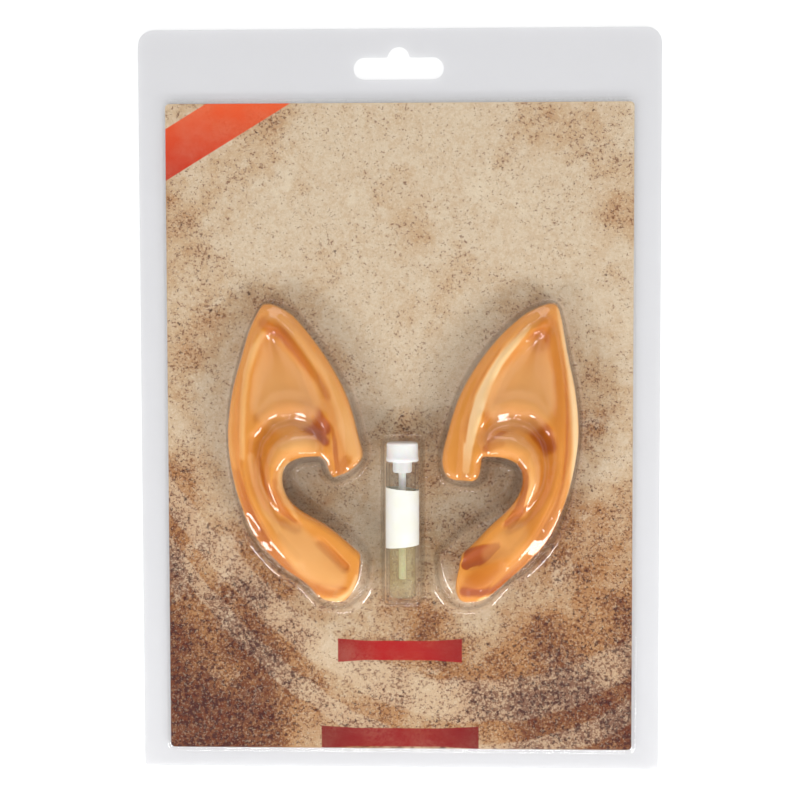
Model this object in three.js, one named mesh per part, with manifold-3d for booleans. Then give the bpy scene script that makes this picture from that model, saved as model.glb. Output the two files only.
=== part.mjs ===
// A pair of hollow latex elf ear tips in a blister pack: a clear film formed over the ears and over a small vial of skin
// glue, a card behind them, and a flat back sheet with a hanging slot.
// Millimetres. The pack lies on its back: X runs across it, Y up to the hanging slot, and Z out of its front.
import * as THREE from "three";
import { mergeVertices } from "three/addons/utils/BufferGeometryUtils.js";
import Module from "manifold-3d";

const wasm = await Module();
wasm.setup();

// Driving dimensions of the pack
const SIDE_MARGIN = 9.5; // from each side of the card out to the pack's
const BOTTOM_MARGIN = 7; // from the card's bottom edge down to the pack's
const PACK_TOP_CORNER = 5.5;
const PACK_BOTTOM_CORNER = 1.2;
const FILM = 0.5; // the clear sheets
const GAP = 0.3; // between pieces that lie on each other
const CARD_WIDTH = 166;
const CARD_HEIGHT = 231;
const CARD_THICKNESS = 0.6;
const CARD_CORNER = 1.5;
const CARD_DROP = 26; // from the pack's top edge down to the card's
const SLOT_WIDTH = 32;
const SLOT_HEIGHT = 7.8;
const SLOT_NOTCH_WIDTH = 7.8; // the round notch in the middle of the hanging slot
const SLOT_NOTCH_RISE = 3.7;
const SLOT_DROP = 14; // from the pack's top edge down to the slot's middle line

// Driving dimensions of the ears
const EAR_WIDTH = 48;
const EAR_HEIGHT = 106;
const EAR_DEPTH = 13; // from the ear's back to the face of its middle, before the folds
const EAR_WALL = 1.2;
const EARS_APART = 28.1;
const EARS_OFFSET = 1.25; // the pair's, to the right of the pack's middle
const EARS_ABOVE_CARD_EDGE = 54.3;
const RIM_THICKNESS = 7;
const RIM_ROUND = 6; // how far in the widest part of the rim rounds over
const LIP_ROUND = 2.2; // the rounding of the edge round the ear's open bowl
const LIP_TURN = 4.5; // how far that edge turns back into the ear
const BACK_REACH = 0.78; // the share of each section that the back wall covers
const SPLAY_LEFT = 6.2; // how far the lower end of the left ear is pressed open
const SPLAY_RIGHT = 0;

// Driving dimensions of the pockets
const POCKET_CLEARANCE = 0.9;
const POCKET_DRAFT = 1.5; // how far a pocket's walls lean out
const POCKET_SHOULDER = 1; // how far down the rounded shoulder of a pocket goes
const POCKET_SPLAY = 8; // the room for a lower end that is pressed open

// Driving dimensions of the vial
const VIAL_RADIUS = 5.75;
const VIAL_LENGTH = 50;
const VIAL_WALL = 0.9;
const VIAL_ABOVE_CARD_EDGE = 54.2;
const VIAL_OFFSET = 1.3; // to the right of the pack's middle
const CAP_HEIGHT = 6.8;
const PLUG_RADIUS = 3.4;
const PLUG_LENGTH = 4;
const ROD_RADIUS = 1.3;
const ROD_LENGTH = 38;
const GLUE_FILL = 0.86; // the share of the vial's inside that the glue takes
const LABEL_LENGTH = 21.8;
const LABEL_THICKNESS = 0.2;
const LABEL_START = 19.5; // from the vial's bottom
const VIAL_SIDES = 24;

// The pack is cut to size round the card.
const PACK_WIDTH = CARD_WIDTH + 2 * SIDE_MARGIN;
const PACK_HEIGHT = CARD_DROP + CARD_HEIGHT + BOTTOM_MARGIN;

// Levels above the surface that the pack lies on
const CARD_UNDERSIDE = FILM + GAP;
const CARD_TOP = CARD_UNDERSIDE + CARD_THICKNESS;
const SEAT = CARD_TOP + GAP;
const CARD_BOTTOM_EDGE = PACK_HEIGHT / 2 - CARD_DROP - CARD_HEIGHT;

// How finely the soft forms are cut into faces
const EAR_SECTIONS = 34;
const FRONT_STEPS = 10;
const RIM_STEPS = 5;
const BACK_STEPS = 3;
const POCKET_SECTIONS = 25;
const POCKET_STEPS = 8;

// The ear is lofted through these sections, from the end of its front limb up to the tip and round to its lower end.
// inX, inY and outX, outY are the section's ends on the bowl's edge and on the outline, as shares of the ear's width
// from its face side and of its height from its lower end. round is the rim's rounding as a share of RIM_ROUND.
const SECTION_COLUMNS = ["inX", "inY", "outX", "outY", "round"];
const SECTIONS = [
  [0.232, 0.416, 0.078, 0.417, 0.6],
  [0.262, 0.424, 0.044, 0.426, 0.8],
  [0.28, 0.445, 0.015, 0.448, 1.0],
  [0.289, 0.474, 0.004, 0.487, 1.0],
  [0.293, 0.489, 0.03, 0.548, 1.0],
  [0.311, 0.494, 0.115, 0.676, 1.0],
  [0.337, 0.494, 0.23, 0.776, 0.95],
  [0.363, 0.494, 0.396, 0.876, 0.8],
  [0.389, 0.493, 0.578, 0.953, 0.65],
  [0.411, 0.492, 0.719, 0.989, 0.5],
  [0.433, 0.491, 0.822, 1.0, 0.4],
  [0.456, 0.489, 0.869, 0.966, 0.35],
  [0.496, 0.483, 0.919, 0.837, 0.35],
  [0.541, 0.472, 0.978, 0.703, 0.35],
  [0.578, 0.452, 1.0, 0.568, 0.35],
  [0.593, 0.42, 0.963, 0.44, 0.4],
  [0.581, 0.383, 0.893, 0.326, 0.45],
  [0.537, 0.343, 0.785, 0.218, 0.5],
  [0.456, 0.301, 0.637, 0.139, 0.55],
  [0.356, 0.259, 0.474, 0.071, 0.6],
  [0.27, 0.217, 0.333, 0.015, 0.65],
  [0.204, 0.187, 0.23, 0.0, 0.7],
  [0.163, 0.171, 0.141, 0.005, 0.7],
  [0.144, 0.158, 0.102, 0.04, 0.6],
  [0.139, 0.141, 0.106, 0.077, 0.5],
  [0.138, 0.128, 0.122, 0.103, 0.4],
];

// The left ear's front limb ends in a slanting cut, in place of the table's first rows.
const SLANTED_LIMB = [
  [0.205, 0.428, 0.112, 0.441, 0.6],
  [0.228, 0.434, 0.058, 0.458, 0.8],
  [0.252, 0.456, 0.016, 0.48, 1.0],
  [0.268, 0.48, 0.004, 0.503, 1.0],
];

const LEFT_SECTIONS = [...SLANTED_LIMB, ...SECTIONS.slice(SLANTED_LIMB.length)];

// How far an ear leans towards the other one, from its lower end to its tip, at even steps, as shares of its width
const UPRIGHT = [0, 0];
const LEAN_LEFT = [0, 0, 0, 0, 0.003, 0.009, 0.016, 0.022, 0.032, 0.055, 0.105];

// The height of the ear's face from its lower end to its tip, at even steps, as shares of EAR_DEPTH
const ARCH = [0.72, 0.88, 1.0, 0.97, 0.8, 0.6];

// The folds of the ear's face. path has points as shares of the ear's width and height. reach and rise run along it,
// at even steps: how wide the fold is as a share of the width, and how high as a share of EAR_DEPTH.
const FOLDS = {
  innerRidge: {
    path: [[0.31, 0.51], [0.41, 0.53], [0.51, 0.53], [0.6, 0.51], [0.66, 0.46], [0.67, 0.41], [0.63, 0.35], [0.59, 0.31]],
    reach: [0.11, 0.11, 0.08, 0.055],
    rise: [0.12, 0.22, 0.2, 0.1],
  },
  hollowBehindRidge: {
    path: [[0.3, 0.57], [0.38, 0.59], [0.51, 0.605], [0.65, 0.59], [0.75, 0.54], [0.77, 0.47], [0.74, 0.4],
      [0.67, 0.34], [0.58, 0.29], [0.49, 0.26]],
    reach: [0.08, 0.12, 0.1, 0.06],
    rise: [-0.08, -0.28, -0.24, -0.1],
  },
  shelf: {
    path: [[0.3, 0.63], [0.39, 0.66], [0.53, 0.67], [0.67, 0.66], [0.77, 0.61], [0.81, 0.54], [0.79, 0.46]],
    reach: [0.07, 0.07],
    rise: [0.08, 0.05],
  },
  tipHollow: {
    path: [[0.57, 0.69], [0.64, 0.79], [0.71, 0.88]],
    reach: [0.36, 0.24, 0.1],
    rise: [-0.16, -0.22, -0.2],
  },
  frontRoll: {
    path: [[0.75, 0.94], [0.56, 0.88], [0.41, 0.79], [0.32, 0.69], [0.25, 0.59], [0.24, 0.51], [0.23, 0.43]],
    reach: [0.06, 0.09],
    rise: [0.12, 0.22],
  },
  outerBand: {
    path: [[0.81, 0.89], [0.85, 0.78], [0.87, 0.66], [0.87, 0.54], [0.83, 0.43], [0.76, 0.32], [0.64, 0.23], [0.49, 0.15]],
    reach: [0.06, 0.06],
    rise: [0.08, 0.05],
  },
  rimGroove: {
    path: [[0.84, 0.94], [0.89, 0.81], [0.92, 0.69], [0.92, 0.57], [0.9, 0.46], [0.84, 0.35], [0.73, 0.25], [0.6, 0.16],
      [0.45, 0.09], [0.33, 0.05], [0.21, 0.04]],
    reach: [0.03, 0.03],
    rise: [-0.06, -0.06],
  },
  plumpEnd: {
    path: [[0.59, 0.21], [0.43, 0.15], [0.27, 0.09]],
    reach: [0.2, 0.17],
    rise: [0.1, 0.08],
  },
};
const DENT_LEFT = { path: [[0.31, 0.208], [0.22, 0.168], [0.13, 0.121]], reach: [0.05, 0.05], rise: [-0.09, -0.09] };
const DENT_RIGHT = { path: [[0.41, 0.19], [0.3, 0.16], [0.2, 0.14]], reach: [0.08, 0.07], rise: [-0.07, -0.07] };

// Where the lower end is pressed open, as shares of the ear's height and width
const SPLAY_MIDDLE = 0.18;
const SPLAY_SPAN = 0.2;
const SPLAY_FULL_X = 0.35;
const SPLAY_END_X = 0.6;

// The colours of the materials
const LATEX = new THREE.MeshStandardMaterial({ color: 0xdb9752, roughness: 0.42 });
const CLEAR = new THREE.MeshStandardMaterial({
  color: 0xf2f4f6, roughness: 0.06, transparent: true, opacity: 0.2,
});
const PRINT = new THREE.MeshStandardMaterial({ color: 0xb9966c, roughness: 0.6 });
const GLASS = new THREE.MeshStandardMaterial({ color: 0xf4f6f2, roughness: 0.03, transparent: true, opacity: 0.25 });
const GLUE = new THREE.MeshStandardMaterial({ color: 0xf0e6c4, roughness: 0.03, transparent: true, opacity: 0.4 });
const WHITE_PLASTIC = new THREE.MeshStandardMaterial({ color: 0xf3f1ea, roughness: 0.35 });
const PAPER = new THREE.MeshStandardMaterial({ color: 0xece8d6, roughness: 0.8 });

const clamp = (value, low, high) => Math.min(Math.max(value, low), high);
const mix = (a, b, t) => a + (b - a) * t;

function smoothStep(low, high, value) {
  const t = clamp((value - low) / (high - low), 0, 1);
  return t * t * (3 - 2 * t);
}

// A Catmull-Rom spline through evenly spaced values, read at a place between 0 and the last value's index.
function splineAt(values, place) {
  const i = clamp(Math.floor(place), 0, values.length - 2);
  const t = place - i;
  const value = (k) => values[clamp(k, 0, values.length - 1)];
  const [a, b, c, d] = [value(i - 1), value(i), value(i + 1), value(i + 2)];
  return b + 0.5 * t * (c - a + t * (2 * a - 5 * b + 4 * c - d + t * (3 * (b - c) + d - a)));
}

// The nearest place on a fold's path: how far it is, and how far along the path, from 0 to 1.
function nearestOnPath(path, x, y) {
  let best = { distance: Infinity, along: 0 };
  for (let k = 0; k < path.length - 1; k += 1) {
    const [ax, ay] = [path[k][0] * EAR_WIDTH, path[k][1] * EAR_HEIGHT];
    const [dx, dy] = [path[k + 1][0] * EAR_WIDTH - ax, path[k + 1][1] * EAR_HEIGHT - ay];
    const t = clamp(((x - ax) * dx + (y - ay) * dy) / (dx * dx + dy * dy), 0, 1);
    const distance = Math.hypot(x - ax - dx * t, y - ay - dy * t);
    if (distance < best.distance) best = { distance, along: (k + t) / (path.length - 1) };
  }
  return best;
}

// The height of the ear's face over its back, at a point of the ear's own frame.
function faceHeight(ear, x, y) {
  let share = splineAt(ARCH, clamp(y / EAR_HEIGHT, 0, 1) * (ARCH.length - 1));
  for (const fold of [...Object.values(FOLDS), ear.dent]) {
    const { distance, along } = nearestOnPath(fold.path, x, y);
    const reach = splineAt(fold.reach, along * (fold.reach.length - 1)) * EAR_WIDTH;
    const fall = 1 - clamp(distance / reach, 0, 1) ** 2;
    share += splineAt(fold.rise, along * (fold.rise.length - 1)) * fall * fall;
  }
  return share * EAR_DEPTH;
}

// The highest or lowest face height within a radius of a point.
function heightNear(ear, x, y, radius, pick) {
  let found = faceHeight(ear, x, y);
  for (let k = 0; k < 8; k += 1) {
    const angle = (k * Math.PI) / 4;
    found = pick(found, faceHeight(ear, x + radius * Math.cos(angle), y + radius * Math.sin(angle)));
  }
  return found;
}

// A point given by shares of the ear's size, in millimetres, with the lower end pressed open by the ear's splay.
function splayed(ear, shareX, shareY) {
  const near = 1 - clamp(Math.abs(shareY - SPLAY_MIDDLE) / SPLAY_SPAN, 0, 1) ** 2;
  const shift = ear.splay * near * near * (1 - smoothStep(SPLAY_FULL_X, SPLAY_END_X, shareX));
  return new THREE.Vector2(shareX * EAR_WIDTH - shift, shareY * EAR_HEIGHT);
}

// The ends of the section at a place in the table, and its rim's rounding.
function sectionEnds(ear, place) {
  const columns = SECTION_COLUMNS.map((_, c) => splineAt(ear.sections.map((row) => row[c]), place));
  const [inX, inY, outX, outY, round] = columns;
  return { inner: splayed(ear, inX, inY), outer: splayed(ear, outX, outY), round: round * RIM_ROUND };
}

// One section's own measures: its length, where its rim starts to round over, and its points by their distance along it.
function sectionAt(ear, place) {
  const { inner, outer, round } = sectionEnds(ear, place);
  const span = outer.clone().sub(inner);
  const length = span.length();
  const step = 0.05;
  const outline = sectionEnds(ear, Math.min(place + step, SECTIONS.length - 1)).outer
    .sub(sectionEnds(ear, Math.max(place - step, 0)).outer);
  const slant = Math.abs(outline.normalize().cross(span.clone().normalize()));
  const rim = Math.min(round / Math.max(slant, 0.4), 0.45 * length);
  const crest = length - rim;
  const plan = (s) => inner.clone().addScaledVector(span, s / length);
  const point = (s, z) => {
    const { x, y } = plan(s);
    return new THREE.Vector3(x, y, z);
  };
  return { length, rim, crest, plan, point };
}

// The rings of one section: the skin that shows and the skin round the hollow, with as many points each.
function earRings(ear, place) {
  const section = sectionAt(ear, place);
  const { length, rim, crest, plan, point } = section;
  const backEdge = (1 - BACK_REACH) * length;
  const height = (s) => faceHeight(ear, plan(s).x, plan(s).y);
  const lip = Math.min(LIP_ROUND, 0.4 * crest);
  const lipDrop = (s) => (s < lip ? lip * (1 - Math.sqrt(1 - (1 - s / lip) ** 2)) : 0);
  const rimTop = height(crest);
  const backRise = Math.max(rimTop - RIM_THICKNESS, 0);
  const skin = (inset) => {
    const ring = [point(inset, height(0) - LIP_TURN)];
    for (let i = 0; i <= FRONT_STEPS; i += 1) {
      const s = inset + (crest - inset) * (i / FRONT_STEPS) ** 1.3;
      const { x, y } = plan(s);
      const top = inset ? heightNear(ear, x, y, EAR_WALL, Math.min) : height(s);
      ring.push(point(s, (i < FRONT_STEPS ? top : rimTop) - lipDrop(s - inset) - inset));
    }
    const half = RIM_THICKNESS / 2;
    for (let i = 1; i < RIM_STEPS; i += 1) {
      const turn = (Math.PI * i) / RIM_STEPS;
      ring.push(point(crest + (rim - inset) * Math.sin(turn), rimTop - half + (half - inset) * Math.cos(turn)));
    }
    for (let i = 0; i <= BACK_STEPS; i += 1) {
      const s = mix(crest, backEdge, i / BACK_STEPS);
      ring.push(point(s, backRise * (1 - i / BACK_STEPS) ** 1.6 + inset));
    }
    return ring;
  };
  return { shown: skin(0), hidden: skin(EAR_WALL) };
}

// A geometry from vertices and triangles, turned outwards whichever way they run.
function closedGeometry(points, triangles) {
  let volume = 0;
  for (const [a, b, c] of triangles) volume += points[a].dot(points[b].clone().cross(points[c]));
  const facing = volume < 0 ? triangles.map(([a, b, c]) => [a, c, b]) : triangles;
  const geometry = new THREE.BufferGeometry().setFromPoints(points);
  geometry.setIndex(facing.flat());
  geometry.computeVertexNormals();
  return geometry;
}

// The triangles of a band between two rows of points that start at the given indices.
function band(from, to, count, closed) {
  const triangles = [];
  for (let i = 0; i < count - (closed ? 0 : 1); i += 1) {
    const next = (i + 1) % count;
    triangles.push([from + i, from + next, to + next], [from + i, to + next, to + i]);
  }
  return triangles;
}

// The hollow ear, lofted through its sections and open along the edge of its bowl. side is 1 for the right ear.
function earGeometry(ear) {
  const points = [];
  const triangles = [];
  let ringSize = 0;
  for (let k = 0; k <= EAR_SECTIONS; k += 1) {
    const { shown, hidden } = earRings(ear, (k / EAR_SECTIONS) * (SECTIONS.length - 1));
    ringSize = shown.length;
    points.push(...shown, ...hidden.reverse());
    const start = k * 2 * ringSize;
    if (k) triangles.push(...band(start - 2 * ringSize, start, 2 * ringSize, true));
  }
  const last = EAR_SECTIONS * 2 * ringSize;
  for (let i = 0; i < ringSize - 1; i += 1) {
    const across = 2 * ringSize - 1 - i;
    triangles.push([i, across, across - 1], [i, across - 1, i + 1]);
    triangles.push([last + i, last + across - 1, last + across], [last + i, last + i + 1, last + across - 1]);
  }
  return closedGeometry(points.map((p) => placed(ear, p)), triangles);
}

// A point of an ear's own frame, in the pack's.
function placed(ear, p) {
  const lean = splineAt(ear.lean, clamp(p.y / EAR_HEIGHT, 0, 1) * (ear.lean.length - 1)) * EAR_WIDTH;
  return new THREE.Vector3(
    ear.side * (EARS_APART / 2 + p.x - lean) + EARS_OFFSET,
    CARD_BOTTOM_EDGE + EARS_ABOVE_CARD_EDGE + p.y,
    SEAT + p.z,
  );
}

// A closed loop that runs anticlockwise, moved out by a distance. Points that come too near the loop are pushed away.
function movedOut(loop, distance) {
  const at = (i) => loop[(i + loop.length) % loop.length];
  return loop.map((p, i) => {
    const along = new THREE.Vector2();
    for (let k = 1; k <= 3; k += 1) along.add(at(i + k)).sub(at(i - k));
    const out = p.clone().addScaledVector(new THREE.Vector2(along.y, -along.x).normalize(), distance);
    for (let pass = 0; pass < 4; pass += 1) {
      const near = loop.reduce((a, b) => (b.distanceTo(out) < a.distanceTo(out) ? b : a));
      const away = out.clone().sub(near);
      if (away.length() < distance) out.copy(near).addScaledVector(away.normalize(), distance);
    }
    return out;
  });
}

// The triangles that fill a loop which runs anticlockwise, for points that start at an index.
function fill(loop, start) {
  return THREE.ShapeUtils.triangulateShape(loop.map((p) => p.clone()), []).map((t) => t.map((i) => start + i));
}

// The solid under a pocket's film: the ear's face raised by a clearance, and walls that lean out down to a floor level.
function earPocket(ear, clearance, floor) {
  const width = POCKET_STEPS + 1;
  const points = [];
  const triangles = [];
  for (let k = 0; k <= POCKET_SECTIONS; k += 1) {
    const { length, plan, point } = sectionAt(ear, (k / POCKET_SECTIONS) * (SECTIONS.length - 1));
    for (let i = 0; i < width; i += 1) {
      const s = length * (i / POCKET_STEPS) ** 1.15;
      const { x, y } = plan(s);
      points.push(point(s, heightNear(ear, x, y, 2 * POCKET_CLEARANCE, Math.max) + clearance));
    }
    if (k) triangles.push(...band((k - 1) * width, k * width, width, false));
  }
  const border = [];
  for (let k = 0; k < POCKET_SECTIONS; k += 1) border.push(points[k * width]);
  for (let i = 0; i < width - 1; i += 1) border.push(points[POCKET_SECTIONS * width + i]);
  for (let k = POCKET_SECTIONS; k > 0; k -= 1) border.push(points[k * width + width - 1]);
  for (let i = width - 1; i > 0; i -= 1) border.push(points[i]);
  const flat = border.map((p) => new THREE.Vector2(p.x, p.y));
  const foot = movedOut(flat, clearance + POCKET_DRAFT);
  const top = points.length;
  points.push(...border);
  movedOut(flat, clearance).forEach((p, i) => points.push(new THREE.Vector3(p.x, p.y, border[i].z - POCKET_SHOULDER)));
  foot.forEach((p) => points.push(new THREE.Vector3(p.x, p.y, floor - SEAT)));
  const count = border.length;
  triangles.push(...band(top, top + count, count, true), ...band(top + count, top + 2 * count, count, true));
  triangles.push(...fill(foot, top + 2 * count));
  return solidOf(closedGeometry(points.map((p) => placed(ear, p)), triangles));
}

// A geometry as a solid that can be joined and cut.
function solidOf(geometry) {
  const bare = geometry.clone();
  bare.deleteAttribute("normal");
  bare.deleteAttribute("uv");
  const merged = mergeVertices(bare, 1e-4);
  return new wasm.Manifold(
    new wasm.Mesh({
      numProp: 3,
      vertProperties: merged.attributes.position.array,
      triVerts: new Uint32Array(merged.index.array),
    }),
  );
}

// A solid as a geometry.
function geometryOf(solid) {
  const { vertProperties, triVerts, numProp } = solid.getMesh();
  const positions = [];
  for (let i = 0; i < vertProperties.length; i += numProp) positions.push(...vertProperties.slice(i, i + 3));
  const geometry = new THREE.BufferGeometry();
  geometry.setAttribute("position", new THREE.Float32BufferAttribute(positions, 3));
  geometry.setIndex([...triVerts]);
  geometry.computeVertexNormals();
  return geometry;
}

// A rectangle with rounded corners, by its edges.
function roundedShape(left, bottom, right, top, bottomCorner, topCorner) {
  const shape = new THREE.Shape();
  shape.moveTo(left + bottomCorner, bottom);
  shape.absarc(right - bottomCorner, bottom + bottomCorner, bottomCorner, -Math.PI / 2, 0);
  shape.absarc(right - topCorner, top - topCorner, topCorner, 0, Math.PI / 2);
  shape.absarc(left + topCorner, top - topCorner, topCorner, Math.PI / 2, Math.PI);
  shape.absarc(left + bottomCorner, bottom + bottomCorner, bottomCorner, Math.PI, Math.PI * 1.5);
  return shape;
}

// A flat plate of a shape, between two levels.
function plate(shape, bottom, top) {
  const geometry = new THREE.ExtrudeGeometry(shape, { depth: top - bottom, bevelEnabled: false, curveSegments: 6 });
  return geometry.translate(0, 0, bottom);
}

// The hanging slot: a long hole with round ends and a round notch in the middle of its upper side.
function slotShape() {
  const y = PACK_HEIGHT / 2 - SLOT_DROP;
  const end = SLOT_HEIGHT / 2;
  const notch = SLOT_NOTCH_WIDTH / 2;
  const radius = (notch ** 2 + SLOT_NOTCH_RISE ** 2) / (2 * SLOT_NOTCH_RISE);
  const centre = end + SLOT_NOTCH_RISE - radius;
  const start = Math.atan2(end - centre, notch);
  const shape = new THREE.Shape();
  shape.absarc(SLOT_WIDTH / 2 - end, y, end, -Math.PI / 2, Math.PI / 2);
  shape.absarc(0, y + centre, radius, start, Math.PI - start);
  shape.absarc(end - SLOT_WIDTH / 2, y, end, Math.PI / 2, Math.PI * 1.5);
  return shape;
}

function packShape() {
  const [x, y] = [PACK_WIDTH / 2, PACK_HEIGHT / 2];
  return roundedShape(-x, -y, x, y, PACK_BOTTOM_CORNER, PACK_TOP_CORNER);
}

function cardShape(margin) {
  const x = CARD_WIDTH / 2 + margin;
  const top = CARD_BOTTOM_EDGE + CARD_HEIGHT + margin;
  return roundedShape(-x, CARD_BOTTOM_EDGE - margin, x, top, CARD_CORNER + margin, CARD_CORNER + margin);
}

// The vial lies along Y on the card. Its label is the widest thing on it.
const LABEL_RADIUS = VIAL_RADIUS + GAP + LABEL_THICKNESS;
const VIAL_BOTTOM = CARD_BOTTOM_EDGE + VIAL_ABOVE_CARD_EDGE;
const VIAL_LEVEL = SEAT + LABEL_RADIUS;
const CAP_TOP = VIAL_LENGTH + GAP + CAP_HEIGHT;

// A body turned from a profile of radius and height, laid along the vial's axis.
function turned(profile) {
  const points = profile.map(([radius, y]) => new THREE.Vector2(radius, y));
  return new THREE.LatheGeometry(points, VIAL_SIDES).translate(VIAL_OFFSET, VIAL_BOTTOM, VIAL_LEVEL);
}

function vialGlass() {
  const bore = VIAL_RADIUS - VIAL_WALL;
  return turned([[0, 0], [VIAL_RADIUS - VIAL_WALL, 0], [VIAL_RADIUS, VIAL_WALL], [VIAL_RADIUS, VIAL_LENGTH],
    [bore, VIAL_LENGTH], [bore, 2 * VIAL_WALL], [0, 2 * VIAL_WALL]]);
}

function vialCap() {
  const under = VIAL_LENGTH + GAP;
  const rodEnd = under - PLUG_LENGTH - ROD_LENGTH;
  return turned([[0, rodEnd], [ROD_RADIUS, rodEnd], [ROD_RADIUS, under - PLUG_LENGTH], [PLUG_RADIUS, under - PLUG_LENGTH],
    [PLUG_RADIUS, under], [VIAL_RADIUS, under], [VIAL_RADIUS, CAP_TOP - VIAL_WALL], [VIAL_RADIUS - VIAL_WALL, CAP_TOP],
    [0, CAP_TOP]]);
}

function vialGlue() {
  const bottom = 2 * VIAL_WALL + GAP;
  const inside = VIAL_LENGTH - PLUG_LENGTH - bottom;
  const top = bottom + inside * GLUE_FILL;
  const radius = VIAL_RADIUS - VIAL_WALL - GAP;
  const rod = ROD_RADIUS + GAP;
  const rodEnd = Math.min(VIAL_LENGTH - PLUG_LENGTH - ROD_LENGTH, top - GAP);
  return turned([[0, bottom], [radius, bottom], [radius, top], [rod, top], [rod, rodEnd], [0, rodEnd]]);
}

function vialLabel() {
  const [inner, start] = [LABEL_RADIUS - LABEL_THICKNESS, LABEL_START];
  const [low, high] = [start, start + LABEL_LENGTH];
  return turned([[inner, low], [LABEL_RADIUS, low], [LABEL_RADIUS, high], [inner, high], [inner, low]]);
}

// The solid under the film over the vial: a block with rounded corners whose walls lean out down to a floor level.
function vialPocket(clearance, floor) {
  const top = VIAL_LEVEL + LABEL_RADIUS + clearance / 2;
  const block = (margin) => {
    const x = LABEL_RADIUS + margin;
    const [left, right] = [VIAL_OFFSET - x, VIAL_OFFSET + x];
    const shape = roundedShape(left, VIAL_BOTTOM - margin, right, VIAL_BOTTOM + CAP_TOP + margin, 1 + margin, 1 + margin);
    return shape.getPoints(4).filter((p, i, all) => p.distanceTo(all[(i + 1) % all.length]) > 1e-6);
  };
  const levels = [[clearance + POCKET_DRAFT, floor], [clearance, top - POCKET_SHOULDER], [0, top]];
  const loops = levels.map(([margin, z]) => block(margin).map((p) => new THREE.Vector3(p.x, p.y, z)));
  const count = loops[0].length;
  const triangles = [...band(0, count, count, true), ...band(count, 2 * count, count, true)];
  triangles.push(...fill(block(0), 2 * count), ...fill(block(0), 0).map((t) => t.reverse()));
  return solidOf(closedGeometry(loops.flat(), triangles));
}

const EARS = {
  ear_left: { side: -1, splay: SPLAY_LEFT, dent: DENT_LEFT, lean: LEAN_LEFT, sections: LEFT_SECTIONS },
  ear_right: { side: 1, splay: SPLAY_RIGHT, dent: DENT_RIGHT, lean: UPRIGHT, sections: SECTIONS },
};

// The ear that a pocket has room for, with its lower end pressed open
function pocketEar(ear) {
  return { ...ear, splay: POCKET_SPLAY, dent: DENT_LEFT };
}

// The formed film: a flange that is sealed to the back sheet, a raised panel over the card, and the three pockets.
function frontBlister() {
  const under = CARD_UNDERSIDE;
  const pockets = (growth, floor) => [
    ...Object.values(EARS).map((ear) => earPocket(pocketEar(ear), POCKET_CLEARANCE + growth, floor)),
    vialPocket(POCKET_CLEARANCE / 2 + growth, floor),
  ];
  let film = solidOf(plate(packShape(), under, under + FILM));
  film = film.add(solidOf(plate(cardShape(GAP + FILM), under, SEAT + FILM)));
  for (const pocket of pockets(FILM, SEAT)) film = film.add(pocket);
  film = film.subtract(solidOf(plate(cardShape(GAP), under - GAP, SEAT)));
  for (const pocket of pockets(0, SEAT - FILM / 2)) film = film.subtract(pocket);
  return geometryOf(film.subtract(solidOf(plate(slotShape(), -GAP, SEAT))));
}

function backSheet() {
  const shape = packShape();
  shape.holes.push(new THREE.Path(slotShape().getPoints(6)));
  return plate(shape, 0, FILM);
}

const pack = new THREE.Group();
function addPiece(name, geometry, material) {
  const mesh = new THREE.Mesh(geometry, material);
  mesh.name = name;
  pack.add(mesh);
}

addPiece("back_sheet", backSheet(), CLEAR);
addPiece("card", plate(cardShape(0), CARD_UNDERSIDE, CARD_TOP), PRINT);
addPiece("front_blister", frontBlister(), CLEAR);
for (const [name, ear] of Object.entries(EARS)) addPiece(name, earGeometry(ear), LATEX);
addPiece("vial_glass", vialGlass(), GLASS);
addPiece("vial_cap", vialCap(), WHITE_PLASTIC);
addPiece("vial_glue", vialGlue(), GLUE);
addPiece("vial_label", vialLabel(), PAPER);

export default pack;
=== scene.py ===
# %% [markdown]
# # A pair of elf ear tips in a blister pack
#
# The imported model fixes every size and place. This script gives it its looks: soft latex ears with their
# folds, painted highlights and painted shade, a clear formed film over them, a vial of glue and an
# old-looking bare card.
# Lengths in the tables are millimetres or shares of the ear, and Blender's own are metres.

import math

import bmesh
import bpy
import numpy as np
from mathutils import Matrix, Vector
from mathutils.geometry import delaunay_2d_cdt


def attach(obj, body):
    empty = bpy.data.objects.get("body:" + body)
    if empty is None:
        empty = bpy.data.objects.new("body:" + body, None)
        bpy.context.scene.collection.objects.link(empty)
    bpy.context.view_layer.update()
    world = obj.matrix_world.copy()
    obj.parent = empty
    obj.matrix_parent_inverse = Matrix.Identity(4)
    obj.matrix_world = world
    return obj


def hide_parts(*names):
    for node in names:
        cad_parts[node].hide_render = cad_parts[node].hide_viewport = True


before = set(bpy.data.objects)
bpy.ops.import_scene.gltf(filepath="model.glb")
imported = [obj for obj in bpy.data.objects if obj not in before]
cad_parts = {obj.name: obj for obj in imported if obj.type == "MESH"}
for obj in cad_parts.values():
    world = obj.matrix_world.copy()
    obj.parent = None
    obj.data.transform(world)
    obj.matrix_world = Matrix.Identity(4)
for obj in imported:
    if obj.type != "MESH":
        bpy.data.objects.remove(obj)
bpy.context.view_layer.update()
MM = 0.001
scene = bpy.context.scene
scene.view_settings.view_transform = "Standard"

# %% [markdown]
# ## Sizes
#
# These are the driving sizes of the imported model. The ear is drawn through a table of sections, from the
# end of its front limb up to the tip and round to its lower end, and its face is raised and lowered along
# the paths of its folds.

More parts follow.
